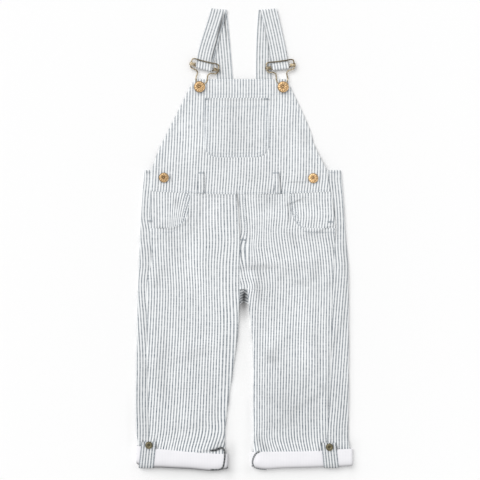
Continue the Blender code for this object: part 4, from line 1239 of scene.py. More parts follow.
def front_leg(side):
    """A front leg. Columns run from the side seam to the inner edge and rows from the hem to the
    pocket's mouth and the waist seam; the last columns turn down a quarter circle at the inner leg."""
    inward = INWARD[side]
    mouth_x, mouth_height = scoop(side, MOUTH_POINTS)
    inner_top = float(inner_x(side, np.array([WAIST]))[0]) - inward * CURL
    waist_x = np.linspace(mouth_x[-1], inner_top, WAIST_POINTS)[1:]
    top_x = np.concatenate([mouth_x, waist_x])
    top_height = np.concatenate([mouth_height, waist(waist_x) - SEAM / 2])
    start = seam_x(side, top_height)
    end = inner_x(side, top_height) - inward * CURL
    top_share = (top_x - start) / (end - start)
    level_share = np.linspace(0, 1, len(top_x))

    hem_x = seam_x(side, HEM) + (read(LEGS[side], "inner", HEM) - seam_x(side, HEM)) * level_share
    hem = cuff_edge(side, "bottom", hem_x) + CUFF_INSIDE + HEM_GAP
    below = np.linspace(hem[-1], FRONT_CROTCH - 1.0, LEG_ROWS[0])
    above = np.linspace(FRONT_CROTCH + 0.6, WAIST, LEG_ROWS[1])
    v = (np.concatenate([below, above])[:, None] - hem[-1]) / (WAIST - hem[-1])
    height = hem + (top_height - hem) * v
    share = level_share + (top_share - level_share) * ease((v - 0.5) / 0.5)
    edge = seam_x(side, height)
    row_height = height[:, -1:]
    x = edge + (inner_x(side, row_height) - inward * CURL - edge) * share

    turn = np.linspace(0, math.pi / 2, 8)[1:]
    fallen = (row_height < FRONT_CROTCH).astype(float)
    reach = turn / (math.pi / 2) * (1 - fallen) + np.sin(turn) * fallen
    curl_x = inner_x(side, row_height) - inward * CURL * (1 - reach)
    x = np.concatenate([x, curl_x], axis=1)
    height = np.concatenate([height, np.repeat(row_height, len(turn), axis=1)], axis=1)

    z = leg_top(side, x, height)
    z += hem_swell(mouth_distance(side, x, height), SIDE_HEM) * ease((height - 320) / 20)
    drop = z[:, -len(turn) :] - (LAYER + climb(side, x, height)[:, -len(turn) :])
    z[:, -len(turn) :] -= fallen * drop * (1 - np.cos(turn))
    thin = pressed(np.abs(x - seam_x(side, height)), 0.85, 7.0) * ease((VENT_END - height) / 10)
    outer = stack(x, height, z - thin)
    uv = stack(front_stripes(side, x, height), height / STRIPE)
    outer, uv, wall = rightwards(side, outer, uv, CLOTH - thin)
    up = grid_normals(outer)
    curl = len(turn) + 2
    up[:, slice(0, -curl) if side == "left" else slice(curl, None)] = (0, 0, 1)
    piece = cloth_shell(f"front_leg_{side}_cloth", outer, uv, COTTON, up=up, wall=wall)

    top = partial(leg_top, side)
    mouth_x, mouth_height = scoop(side, POCKET_ROW_POINTS)
    across_x, across_height = unit(np.column_stack([np.gradient(mouth_height), -np.gradient(mouth_x)])).T
    rows = []
    for inset in TWIN_ROWS["hip"]:
        reach = inward * inset
        row = row_on(top, mouth_x - reach * across_x, mouth_height + reach * across_height)
        rows.append(stitch_mesh(row, **HIP_STITCH))
    sewing = sew(f"hip_pocket_{side}_stitching", rows, POCKET_THREAD)
    start, end = OPENING_TACKS[side]
    tacking = sew(f"side_opening_{side}_bar_tack", [bar_tack(top, start, end)], TACKING)
    finish_cloth(piece, f"front_leg_{side}", [sewing, tacking])


def back_leg(side):
    """A back leg: flat on the floor from the centre to the side edge, then round it in a half circle
    and inwards again as far as the side seam, with a few soft waves in what shows. Between the legs
    its stripes are bunched into chevrons: they lean more the further they lie from the centre."""
    inward = INWARD[side]
    below = np.linspace(HEM, BACK_CROTCH - 1.5, BACK_ROWS[0])
    height = np.concatenate([below, np.linspace(BACK_CROTCH + 1.5, BACK_WAIST, BACK_ROWS[1])])[:, None]
    flat = np.linspace(0, 1, 16)
    radius = EDGE / 2
    turn = np.linspace(0, math.pi, 14)
    over = np.linspace(0, 1, 17)[1:]
    centre = -inward * SEAM / 2
    inner = np.where(height > BACK_CROTCH, centre, read(LEGS[side], "inner", height))
    inner = inner - inward * END_INSET * climb(side, inner, height) / LAYER
    outline = read(LEGS[side], "outline", height)
    end = seam_x(side, height) + inward * underlap(height)
    bend = outline + inward * radius
    flat_x = inner + (bend - inner) * flat[:-1]
    turn_x = bend - inward * radius * np.sin(turn)
    over_x = bend + (end - bend) * over
    x = np.concatenate([flat_x, turn_x, over_x], axis=1)
    z = np.concatenate([0 * flat[:-1], radius - radius * np.cos(turn), [EDGE] * len(over)])
    hem = cuff_edge(side, "bottom", x[0]) + CUFF_INSIDE + HEM_GAP
    height = np.repeat(height, x.shape[1], axis=1)
    height[0] = hem
    shown = ease((inward * (seam_x(side, height) - x) - 1.0) / 9) * (z / EDGE) ** 2
    waves = (unevenness(x * 1.7, height) * 1.6 + 0.5 * np.sin(height / 13 + x / 9)) * shown
    outer = stack(x, height, z + climb(side, x, height) + waves * ease((height - 50) / 20))

    run = np.cumsum(np.linalg.norm(np.diff(outer[::-1, ::-1], axis=1), axis=2), axis=1)
    run = np.concatenate([np.zeros((len(run), 1)), run], axis=1)[::-1, ::-1]
    at_end = stripe_count(BAND_GRAIN[side], (0,), x[:, -1:], height[:, -1:])
    u = at_end - inward * run / STRIPE
    between = ease((FRONT_CROTCH + 8 - height) / 6) * ease((height - BACK_CROTCH + 6) / 6)
    bunched = ease((18 - np.abs(x)) / 6) * between
    u = u + bunched * (x + 0.45 * np.abs(x) + 0.9 * (height - BACK_CROTCH)) / STRIPE
    outer, uv = rightwards(side, outer, stack(u, height / STRIPE))
    # Painted shade: the turned band is painted darker as it rises round the side edge
    tone = 1 - BAND_SHADE * ease(outer[..., 2] / EDGE)
    piece = cloth_shell(f"back_leg_{side}_cloth", outer, uv, COTTON, tone=tone)

    row_x = np.linspace(outline[-1, 0] + inward * 3, seam_x(side, BACK_WAIST - 4) - inward * 1, 30)
    row = row_on(band_top, row_x, np.full(len(row_x), BACK_WAIST - 3.2), 0.15)
    sewing = sew(f"back_waist_{side}_stitching", [stitch_mesh(row)])
    finish_cloth(piece, f"back_leg_{side}", [sewing])


def bib_grid(lines, bottom, top, rows, cols):
    """Plan points of a bib between two side edges, from a lower edge to a level upper one."""
    u = np.linspace(0, 1, cols)
    v = np.linspace(0, 1, rows)[:, None]
    low_x = read(lines, "left", bottom) * (1 - u) + read(lines, "right", bottom) * u
    low = waist(low_x) + SEAM / 2 if bottom == WAIST else np.full(cols, bottom)
    height = low + (top - low) * v
    left, right = read(lines, "left", height), read(lines, "right", height)
    return left + (right - left) * u, height


def front_bib():
    """The front bib: a trapezoid with hems along its slanted edges and its top, and a pressed seam
    allowance above the waist."""
    x, height = bib_grid(BIB_LINES, WAIST, BIB_TOP, *BIB_GRID)
    left, right = read(BIB_LINES, "left", height), read(BIB_LINES, "right", height)
    slope = np.hypot(1.0, BIB_SLANT)
    side = np.minimum(x - left, right - x) / slope
    z = front_top(x, height) + hem_swell(side, SIDE_HEM) + hem_swell(BIB_TOP - height, BIB_HEM, 0.5)
    z += hem_swell(height - waist(x), 3.5, 0.3, 2.2)
    outer = stack(x, height, z)
    uv = stack(bib_stripes(x, height), height / STRIPE)
    piece = cloth_shell("front_bib_cloth", outer, uv, COTTON, up=(0, 0, 1))

    t = np.linspace(0, 1, BIB_ROW_POINTS)
    rows = []
    for side, inward in INWARD.items():
        row_height = WAIST + 6 + (BIB_TOP - 3 - WAIST - 6) * t
        row_x = read(BIB_LINES, side, row_height) + inward * BIB_SIDE_ROW
        rows.append(stitch_mesh(row_on(front_top, row_x, row_height, 0.1)))
    for drop in BIB_ROWS:
        row_height = np.full(len(t), BIB_TOP - drop)
        start, end = (float(read(BIB_LINES, side, row_height[:1])[0]) for side in SIDES)
        row_x = start + 2 + (end - start - 4) * t
        rows.append(stitch_mesh(row_on(front_top, row_x, row_height, 0.35)))
    row_x = WAIST_ROW[0] + (WAIST_ROW[1] - WAIST_ROW[0]) * t
    rows.append(stitch_mesh(row_on(front_top, row_x, waist(row_x) + 2.4, 0.1)))
    sewing = sew("bib_stitching", rows)
    finish_cloth(piece, "front_bib", [sewing])


def back_bib():
    """The low back bib, level on the floor, where the straps are sewn."""
    x, height = bib_grid(BACK_BIB_LINES, BACK_WAIST + SEAM, BACK_BIB[-1][0], *BACK_BIB_GRID)
    outer = stack(x, height, CLOTH)
    piece = cloth_shell("back_bib_cloth", outer, stack(x, height) / STRIPE, COTTON, up=(0, 0, 1))
    finish_cloth(piece, "back_bib")


def chest_pocket():
    """A patch on the bib, with a hem at its mouth and two rows of stitches round the rest."""
    corner_width, corner_height = CHEST_CORNER
    low, high = CHEST_POCKET["bottom"], CHEST_POCKET["top"]
    corner = low + corner_height * (1 - np.cos(np.linspace(0, math.pi / 2, 16)))
    height = np.concatenate([corner, np.linspace(corner[-1], high, 44)[1:]])[:, None]
    rise = np.clip((corner[-1] - height) / corner_height, 0, 1)
    inset = corner_width * (1 - np.sqrt(1 - rise**2))
    u = np.linspace(0, 1, 56)
    left, right = CHEST_POCKET["left"] + inset, CHEST_POCKET["right"] - inset
    x = left + (right - left) * u
    height = np.repeat(height, len(u), axis=1)
    edge = np.minimum(np.minimum(x - left, right - x), height - low)
    thin = pressed(edge, 0.95, 7.0)
    z = patch_top(x, height) + hem_swell(edge, 7.0, 0.1, 1.8) + hem_swell(high - height, POCKET_HEM, 0.4)
    outer = stack(x, height, z - thin)
    uv = stack(bib_stripes(x, height) + POCKET_LAYOUT, height / STRIPE)
    piece = cloth_shell("chest_pocket_cloth", outer, uv, COTTON, up=(0, 0, 1), wall=CLOTH - thin)

    rows = []
    turn = np.linspace(0, math.pi / 2, 24)
    for inset in TWIN_ROWS["chest"]:
        start, end, floor = CHEST_POCKET["left"] + inset, CHEST_POCKET["right"] - inset, low + inset
        round_x = (corner_width - inset) * (1 - np.cos(turn))
        round_height = floor + (corner_height - inset) * (1 - np.sin(turn))
        row_x = np.concatenate([[start], start + round_x, end - round_x[::-1], [end]])
        row_height = np.concatenate([[high - 1], round_height, round_height[::-1], [high - 1]])
        row_x, row_height = even_steps(np.column_stack([row_x, row_height]), POCKET_ROW_POINTS).T
        rows.append(stitch_mesh(row_on(patch_top, row_x, row_height, 0.2)))
    row_x = np.linspace(CHEST_POCKET["left"] + 2, CHEST_POCKET["right"] - 2, 80)
    rows.append(stitch_mesh(row_on(patch_top, row_x, np.full(len(row_x), high - 13.4), 0.2)))
    sewing = sew("chest_pocket_stitching", rows)
    near, far = POCKET_TACK
    tacks = []
    for start, end in ((CHEST_POCKET["left"] + near, CHEST_POCKET["left"] + far),
                       (CHEST_POCKET["right"] - far, CHEST_POCKET["right"] - near)):
        tacks.append(bar_tack(patch_top, (start, high - 1.6), (end, high - 1.6)))
    tacking = sew("chest_pocket_bar_tacks", tacks, TACKING)
    finish_cloth(piece, "chest_pocket", [sewing, tacking])


def pocket_facing(side):
    """The cloth inside a hip pocket's mouth. It reaches a little way under the mouth's edge."""
    inward = INWARD[side]
    mouth_x, mouth_height = scoop(side, 60)
    bend = np.linspace(0, 1, len(mouth_x))
    x_low = mouth_x + inward * MOUTH_MARGIN * np.sin(bend * math.pi / 2)
    low = mouth_height - MOUTH_MARGIN * np.cos(bend * math.pi / 2)
    v = np.linspace(0, 1, 34)[:, None]
    near_side = (1 - bend) ** 2
    high = waist(x_low + (seam_x(side, WAIST) - seam_x(side, low)) * near_side) - SEAM / 2
    low = np.minimum(low, high - 1.5)
    height = low + (high - low) * v
    x = x_low + (seam_x(side, height) - seam_x(side, low)) * near_side
    outer = stack(x, height, front_top(x, height))
    slant = FACING_SLANTS[side] * ease((inward * (x - seam_x(side, height)) - 22) / 36)
    stripes = front_stripes(side, x + slant * (WAIST - height), height) + FACING_LAYOUT
    outer, uv = rightwards(side, outer, stack(stripes, height / STRIPE))
    piece = cloth_shell(f"pocket_facing_{side}_cloth", outer, uv, COTTON, up=(0, 0, 1))
    finish_cloth(piece, f"pocket_facing_{side}")


def belt_loop(side):
    """A narrow strip over the waist, tacked down at both ends and standing off between them."""
    width, low, high, arch = LOOP_SIZE
    low_x, high_x = BELT_LOOPS[side]
    v = np.linspace(0, 1, 30)[:, None]
    w = np.linspace(-width / 2, width / 2, 12)
    middle = low_x + (high_x - low_x) * v
    x = middle + w
    height = np.repeat(low + (high - low) * v, len(w), axis=1)
    z = patch_top(x, height) + arch * np.sin(math.pi * v) + 0.25 * np.cos(w / width * 2 * math.pi)
    outer = stack(x, height, z)
    uv = stack((x - low_x) / STRIPE + 0.1, height / STRIPE)
    # Painted shade along the right edge and at the upper end, painted light at the lower end
    tone = 1 - LOOP_SHADES[side] * bell((middle + width / 2 - x) / 0.9)
    tone = tone - 0.1 * bell((high - height) / 0.9) + 0.15 * bell((height - low) / 1.2)
    piece = cloth_shell(f"belt_loop_{side}_cloth", outer, uv, COTTON, up=(0, 0, 1), tone=tone)
    tacks = []
    for at_x, at, broad in ((low_x, low + 1.2, 0.7), (high_x, high - 1.2, 1.8)):
        reach = width / 2 - 0.6
        tacks.append(bar_tack(patch_top, (at_x - reach, at), (at_x + reach, at), broad))
    tacking = sew(f"belt_loop_{side}_bar_tacks", tacks, POCKET_THREAD)
    finish_cloth(piece, f"belt_loop_{side}", [tacking])


def fly_placket():
    """The strip beside the centre front seam, which ends in a point below its bar tack."""
    width, tack, point = FLY
    height = np.concatenate([np.linspace(point, tack, 14), np.linspace(tack, WAIST - 0.8, 36)[1:]])[:, None]
    seam = read(CENTRE_LINE, "seam", height) + SEAM / 2
    share = np.clip((height - point) / (tack - point), 0.18, 1)
    x = seam + width * share * np.linspace(0, 1, 12)
    height = np.repeat(height, 12, axis=1)
    beside = seam + width * share - x
    thin = pressed(beside, 0.95, width)
    outer = stack(x, height, patch_top(x, height) - thin)
    uv = stack(front_stripes("right", x, height), height / STRIPE)
    piece = cloth_shell("fly_placket_cloth", outer, uv, COTTON, up=(0, 0, 1), wall=CLOTH - thin)
    row_height = np.linspace(tack + 2, WAIST - 2, 60)
    row_x = read(CENTRE_LINE, "seam", row_height) + width - 1.8
    sewing = sew("fly_stitching", [stitch_mesh(row_on(patch_top, row_x, row_height, 0.15))])
    at = float(read(CENTRE_LINE, "seam", np.array([tack]))[0])
    tacking = sew("fly_bar_tack", [bar_tack(patch_top, (at + 0.4, tack), (at + 9, tack))], TACKING)
    finish_cloth(piece, "fly_placket", [sewing, tacking])


def cuff_dents(x, height):
    """Soft dents of a cuff's front."""
    return 0.35 * np.sin(x / 11 + height / 17) + 0.22 * np.sin(x / 5.3 + 1.2) * np.sin(height / 9)


def cuff(side):
    """A turned-up hem as a flattened ring. Round it run two level stretches and two half circles; its
    section goes from the upper edge down the outer wall, round a half circle and up inside."""
    table = CUFFS[side]
    radius = CUFF_DEPTH / 2
    first, last = table["x"][0] + radius, table["x"][-1] - radius
    level = np.linspace(first, last, 70)
    turn = np.linspace(-math.pi / 2, math.pi / 2, 20)[1:-1]
    middle = np.concatenate([level, last + 0 * turn, level[::-1], first + 0 * turn])
    out_x = np.concatenate([0 * level, np.cos(turn), 0 * level, -np.cos(turn)])
    out_z = np.concatenate([0 * level - 1, np.sin(turn), 0 * level + 1, -np.sin(turn)])
    x, z = middle + radius * out_x, radius + radius * out_z

    fold = CUFF_FOLD
    bend = np.linspace(0, math.pi, 13)
    down = np.linspace(1, 0, 14)[:-1]
    up = np.linspace(0, 1, 6)[1:]
    depth = [*(0.35 * (1 - ease((1 - down) / 0.06))), *(fold - fold * np.cos(bend)), *(2 * fold + 0 * up)]
    low = [*(0 * down), *(fold - fold * np.sin(bend)), *(fold + (CUFF_INSIDE - fold) * up)]
    at_top = [*down, *(0 * bend), *(0 * up)]
    back_up, back_down = up[::-1], down[::-1]
    inner_depth = 2 * fold - CLOTH
    depth += [*(inner_depth + 0 * back_up), inner_depth, CLOTH, *(CLOTH + 0 * back_down[:-1]), CLOTH]
    low += [*(fold + (CUFF_INSIDE - fold) * back_up), fold, fold, *(0 * back_down[:-1]), 0]
    at_top += [*(0 * back_up), 0, 0, *back_down[:-1], 1]
    depth, low, at_top = (np.array(values)[:, None] for values in (depth, low, at_top))
    x = x - depth * out_x
    bottom, top = cuff_edge(side, "bottom", x), cuff_edge(side, "top", x)
    height = at_top * top + (1 - at_top) * (bottom + low)
    z = z - depth * out_z
    share = ease(z / CUFF_DEPTH * 2 - 1)
    z = z + np.minimum(cuff_dents(x, height), 0.2) * share
    points = stack(x, height, z)
    faces = grid_quads(points.shape[0], points.shape[1], wrap_rows=True, wrap_cols=True)
    uv = stack(np.broadcast_to(x, points.shape[:2]) / STRIPE, height / STRIPE)
    # Painted shade along the lower edge where it shows from above, and at the left cuff's inner end; painted
    # light at the right cuff's inner end
    above = np.maximum(height - bottom, 0)
    seen = ease((z - 2) / 3)
    tone = 1 - CUFF_SHADES[side] * (bell(above / 2.5) + 0.38 * bell(above / 8)) * seen
    right_end = table["x"][-1]
    if side == "left":
        tone = tone - 0.2 * bell((x - right_end) / 2.4) * seen
    else:
        tone = tone + 0.1 * bell((x - right_end) / 3.0)
    piece = recalculated(mesh_piece(f"cuff_{side}_cloth", points, faces, INSIDE, uv, tone=tone.ravel()))
    finish_cloth(piece, f"cuff_{side}", [cuff_roll(side)])


def cuff_roll(side):
    """The striped face of the cloth, which peeps out in a narrow roll round a cuff's inner end. It is painted
    dark, as shade, where it lies in the shadow of the cuff's edge.
    """
    place = smooth_path(np.array([(x, height, 0.0) for x, height in ROLLS[side]], dtype=float), 90)
    inset = np.abs(place[:, 0] - CUFFS[side]["x"][-1 if side == "left" else 0])
    radius = CUFF_DEPTH / 2
    drop = radius - np.sqrt(np.maximum(radius**2 - np.clip(radius - inset, 0, radius) ** 2, 0))
    low = cuff_edge(side, "bottom", place[:, 0])
    drop = np.maximum(drop, 1.6 * (1 - ease((place[:, 1] - low) / 2.5)))
    place[:, 2] = CUFF_DEPTH - drop
    points, faces = wire_mesh(place, ROLL_RADIUS, 10)
    along = np.repeat(np.linspace(0, ROLL_STRIPES, len(points) // 10), 10)
    uv = np.column_stack([along, np.zeros(len(points))])
    tone = np.full(len(points), ROLL_PAINTED_LIGHT[side])
    return sewn_on(mesh_piece(f"cuff_{side}_roll", points, faces, COTTON, uv, tone=tone))


def ribbon(path, widths, half_width, cols):
    """A grid along a path: each row is its place plus the width direction times an even spread, with
    the edges rolled down."""
    path, widths = np.asarray(path, dtype=float), unit(np.asarray(widths, dtype=float))
    up = unit(np.cross(widths, np.gradient(path, axis=0)))
    spread = np.linspace(-1, 1, cols)
    lift = -0.3 * (1 - ease((1 - np.abs(spread)) * half_width / 1.3))
    outer = path[:, None] + widths[:, None] * (spread * half_width)[:, None]
    outer = outer + up[:, None] * (CLOTH / 2 + lift)[:, None]
    uv = stack(spread * half_width / STRIPE + 0.5, run_along(path)[:, None] / STRIPE)
    return outer, uv


def smooth_path(path, count):
    """A path again at even steps, on cubic curves through its points."""
    run = run_along(path)
    even = np.linspace(0, run[-1], count)
    return np.stack([cubic(run, path[:, i], even) for i in range(path.shape[1])], axis=1)


def buckle_frame(side):
    """Button place, and the unit directions up and across the buckle, in plan."""
    x, height, lean = BUCKLES[side]
    lean = math.radians(lean)
    up = np.array([math.sin(lean), math.cos(lean)])
    return np.array([x, height]), up, np.array([up[1], -up[0]])


def spot(x, height):
    """Top of the front at one place."""
    return float(front_top(np.array([x]), np.array([height]))[0])


def buckle_z(side, up):
    """Height of the buckle's wire: on the bib at the button, on its raised frame further up."""
    x, height, _ = BUCKLES[side]
    low = spot(x, height) + SEAM + WIRE
    return low + (FRAME_Z - low) * ease((np.asarray(up) - 9) / 14)


def curve_between(start, end, leave, arrive, t):
    """A cubic from start to end with given directions at both, at each t."""
    start, end, leave, arrive = (np.asarray(v, dtype=float) for v in (start, end, leave, arrive))
    size = np.linalg.norm(end - start)
    t = np.asarray(t)[:, None]
    one = (1 + 2 * t) * (1 - t) ** 2 * start + t * (1 - t) ** 2 * size * leave
    two = t * t * (3 - 2 * t) * end + t * t * (t - 1) * size * arrive
    return one + two


def strap(side):
    """A strap from the back bib, up along the floor to the shoulder fold, down under the buckle's top
    bar, round the slider bar and back up behind itself."""
    button, up, across = buckle_frame(side)
    front_x, back_x = SHOULDERS[side]
    foot = np.array(STRAP_FEET[side])
    crown = SHOULDER - STRAP_TURN - CLOTH / 2
    leave, arrive = STRAP_LEANS[side]

    behind = curve_between(foot, (back_x, crown), (leave, 1), (arrive, 1), np.linspace(0, 1, 60))
    behind_z = CLOTH / 2 + LAYER * (1 - ease((behind[:, 1] - BACK_BIB[-1][0] - 2) / 16))
    turn = np.linspace(0, math.pi, 14)[1:-1]
    fold_x = back_x + (front_x - back_x) * turn / math.pi
    fold_height = crown + STRAP_TURN * np.sin(turn)
    fold_z = CLOTH / 2 + STRAP_TURN * (1 - np.cos(turn))

    slider = button + up * SLIDER_AT
    out, down = (-INWARD[side] * 0.24, -0.97), (STRAP_BOWS[side], 0.0) - up
    front = curve_between((front_x, crown), slider, out, down, np.linspace(0, 1, 60))
    away = np.linalg.norm(front - slider, axis=1)
    rest_z = CLOTH / 2 + 2 * STRAP_TURN - STRAP_SETTLE * ease((away[0] - away) / 40)
    bar_gap = TOP_BAR_AT - SLIDER_AT
    under_bar = FRAME_Z - WIRE - SEAM - CLOTH / 2
    round_bar = BAR + SEAM + CLOTH / 2
    share = ease((away - bar_gap) / 24)
    front_z = under_bar + (rest_z - under_bar) * share
    near = 1 - ease((away - 0.6) / (bar_gap - 2.4))
    front_z = front_z + (FRAME_Z + round_bar - front_z) * near

    loop = np.linspace(0, math.pi, 14)[1:-1]
    loop_plan = slider - np.sin(loop)[:, None] * round_bar * up
    loop_z = FRAME_Z + round_bar * np.cos(loop)
    home = np.linspace(0, TAIL, 20)
    home_plan = slider + home[:, None] * up
    dropped = TAIL_DROPS[0] * ease(home / bar_gap) + TAIL_DROPS[1] * ease((home - bar_gap) / 14)
    home_z = FRAME_Z - round_bar - dropped

    plan = np.concatenate([behind, np.stack([fold_x, fold_height], axis=1), front, loop_plan, home_plan])
    z = np.concatenate([behind_z, fold_z, front_z, loop_z, home_z])
    path = np.column_stack([plan, z])
    steps = np.gradient(plan, axis=0)
    right = np.stack([steps[:, 1], -steps[:, 0]], axis=1)
    right = unit(right) * np.where(right[:, :1] < 0, -1, 1)
    before, after = len(behind) - 3, len(behind) + len(turn) + 2
    blend = np.linspace(0, 1, after - before + 1)[:, None]
    right[before : after + 1] = right[before] * (1 - blend) + right[after] * blend
    fronts = slice(len(behind) + len(turn), len(behind) + len(turn) + len(front))
    level = ease((away - bar_gap - 2) / 20)[:, None]
    right[fronts] = across * (1 - level) + right[fronts] * level
    right[len(behind) + len(turn) + len(front) - 2 :] = across
    widths = np.column_stack([right, np.zeros(len(right))])
    outer, uv = ribbon(path, -widths, STRAP_WIDTH / 2, 41)
    over = ease((np.arange(len(path)) - len(behind) + 4) / (len(turn) + 8))
    uv[..., 0] += (STRAP_PHASES[side] - 0.5) * over[:, None]
    # Painted shade: the strap is painted a little darker than the front
    piece = cloth_shell(f"strap_{side}_cloth", outer, uv, COTTON, tone=1 - BAND_SHADE)

    start = len(behind) + len(turn) + 3
    stop = len(behind) + len(turn) + len(front) - 2
    rows = []
    for column in (1, -2):
        rows.append(stitch_mesh(outer[start:stop, column] + (0, 0, 0.1)))
        rows.append(stitch_mesh(outer[: len(behind) - 2, column] + (0, 0, CLOTH + 0.1)))
    sewing = sew(f"strap_{side}_stitching", rows)
    finish_cloth(piece, f"strap_{side}", [sewing])


def tab(side):
    """The tab that holds a cuff up: from its tip on the leg, down over the cuff and round its fold."""
    fold_x, tip_x, tip = TABS[side]
    low = float(cuff_edge(side, "bottom", fold_x + np.linspace(-TAB_WIDTH / 2, TAB_WIDTH / 2, 5)).min())
    edge = float(cuff_edge(side, "top", np.array([tip_x]))[0])
    on_cuff = CUFF_DEPTH + SEAM + CLOTH / 2
    on_leg = EDGE + LAYER + SEAM + CLOTH / 2 + TAB_RISE
    height = np.linspace(tip, low + CUFF_FOLD, 30)
    share = ease((height - edge - 0.3) / (tip - edge - 1.5))
    z = on_cuff + (on_leg - on_cuff) * share
    radius = CUFF_FOLD + SEAM + CLOTH / 2
    turn = np.linspace(0, math.pi, 14)[1:]
    back = low + TAB_INSIDE * np.array([0.5, 0.75, 1.0])
    height = np.concatenate([height, low + CUFF_FOLD - radius * np.sin(turn), back])
    inside = on_cuff - 2 * radius
    z = np.concatenate([z, CUFF_DEPTH - CUFF_FOLD + radius * np.cos(turn), [inside] * 3])
    x = fold_x + (tip_x - fold_x) * np.clip((height - low) / (tip - low), 0, 1)
    x[30:] = fold_x
    path = np.column_stack([x, height, z])
    outer, uv = ribbon(path, np.tile((-1.0, 0, 0), (len(path), 1)), TAB_WIDTH / 2, 13)
    # Painted shade: the tab darker all over, and darker still near its fold at the cuff's lower edge
    tone = 0.88 - 0.26 * bell((outer[..., 1] - low + 1) / 5.0)
    piece = cloth_shell(f"tab_{side}_cloth", outer, uv, COTTON, tone=tone)
    rows = [stitch_mesh(outer[2:30, column] + (0, 0, 0.1)) for column in (1, -2)]
    sewing = sew(f"tab_{side}_stitching", rows)
    finish_cloth(piece, f"tab_{side}", [sewing])


# ---------------------------------------------------------------- hardware


def fit_metal(piece, node):
    """A metal piece stands for its solid and rides with the cloth."""
    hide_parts(node)
    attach(piece, "root")


def buckle(side):
    """Bent wire: a top bar, two straight sides, shoulders that come in to a neck, and a keyhole loop
    round the button's shank; a smooth closed curve through the bends."""
    right_half = (
        (0, TOP_BAR_AT), (9, TOP_BAR_AT), (18.4, TOP_BAR_AT), (20.2, 38.2), (FRAME_HALF, 36.4),
        (FRAME_HALF, 31.5), (FRAME_HALF, 27.4), (19.2, 25.4), (15, 24.2), (10.4, 22.9), (8.3, 20.6),
        (8.2, 16.5), (8.6, 12.6), (7.6, 8.8), (5.6, 5.6), (4.5, 2.2), (3.8, -1.6), (1.9, -3.9),
    )
    half = np.array(right_half, dtype=float)
    loop = np.concatenate([half, [(0.0, -4.5)], half[:0:-1] * (-1, 1)])
    around = np.concatenate([loop[-3:], loop, loop[:4]])
    fine = smooth_path(around, 8 * len(around))
    run = np.linspace(0, 1, len(fine))
    lengths = run_along(around)
    first, last = lengths[3] / lengths[-1], lengths[3 + len(loop)] / lengths[-1]
    fine = fine[(run >= first) & (run < last - 0.5 / len(fine))]
    button, up, across = buckle_frame(side)
    plan = button + fine[:, :1] * across + fine[:, 1:] * up
    points, faces = wire_mesh(np.column_stack([plan, buckle_z(side, fine[:, 1])]), WIRE, 14, closed=True)
    # Painted light and shade: the wire lighter all over than its plate, its top bar darker
    tone = np.repeat(1.2 - 0.68 * ease((fine[:, 1] - 35) / 4) * ease((20 - np.abs(fine[:, 0])) / 5), 14)
    piece = mesh_piece(f"buckle_{side}_wire", points, faces, BRASS, tone=tone, lit=bare_light)
    fit_metal(recalculated(piece), f"buckle_{side}")


def slider(side):
    """The sliding bar, whose wire winds three times round each side of the buckle: a helix, flattened
    and drawn out towards the strap."""
    button, up, across = buckle_frame(side)
    parts = []
    ends = []
    for way in (-1.0, 1.0):
        turn = np.linspace(0, 2 * math.pi * COLLAR_TURNS, 48 * COLLAR_TURNS)
        radius = WIRE + 0.25 + COIL_WIRE
        along = COLLAR_AT + COLLAR_LENGTH * (turn / turn[-1] - 0.5)
        reach = COLLAR_REACH * (0.5 + 0.5 * np.tanh(3.2 * np.cos(turn)))
        out = way * (FRAME_HALF - radius * np.cos(turn) - reach)
        plan = button + along[:, None] * up + out[:, None] * across
        coil = np.column_stack([plan, FRAME_Z + radius * np.sin(turn)])
        parts.append(helix_mesh(coil, COIL_WIRE))
        ends.append(button + SLIDER_AT * up + way * (FRAME_HALF - radius - COLLAR_REACH) * across)
    t = np.linspace(0, 1, 24)[:, None]
    bar = ends[0] + (ends[1] - ends[0]) * t
    parts.append(wire_mesh(np.column_stack([bar, np.full(24, FRAME_Z)]), BAR, 12))
    points, faces = join(parts)
    # Painted light and shade: lighter all over, darker just above the frame's height, lighter on the outer
    # half
    tone = 1.3 - 0.6 * bell((points[:, 2] - FRAME_Z - 0.9) / 0.7)
    tone = tone + 0.45 * (np.abs(points[:, 0]) > abs(button[0]))
    piece = mesh_piece(f"slider_{side}_wire", points, faces, BRASS, tone=tone, lit=bare_light)
    fit_metal(recalculated(piece), f"slider_{side}")


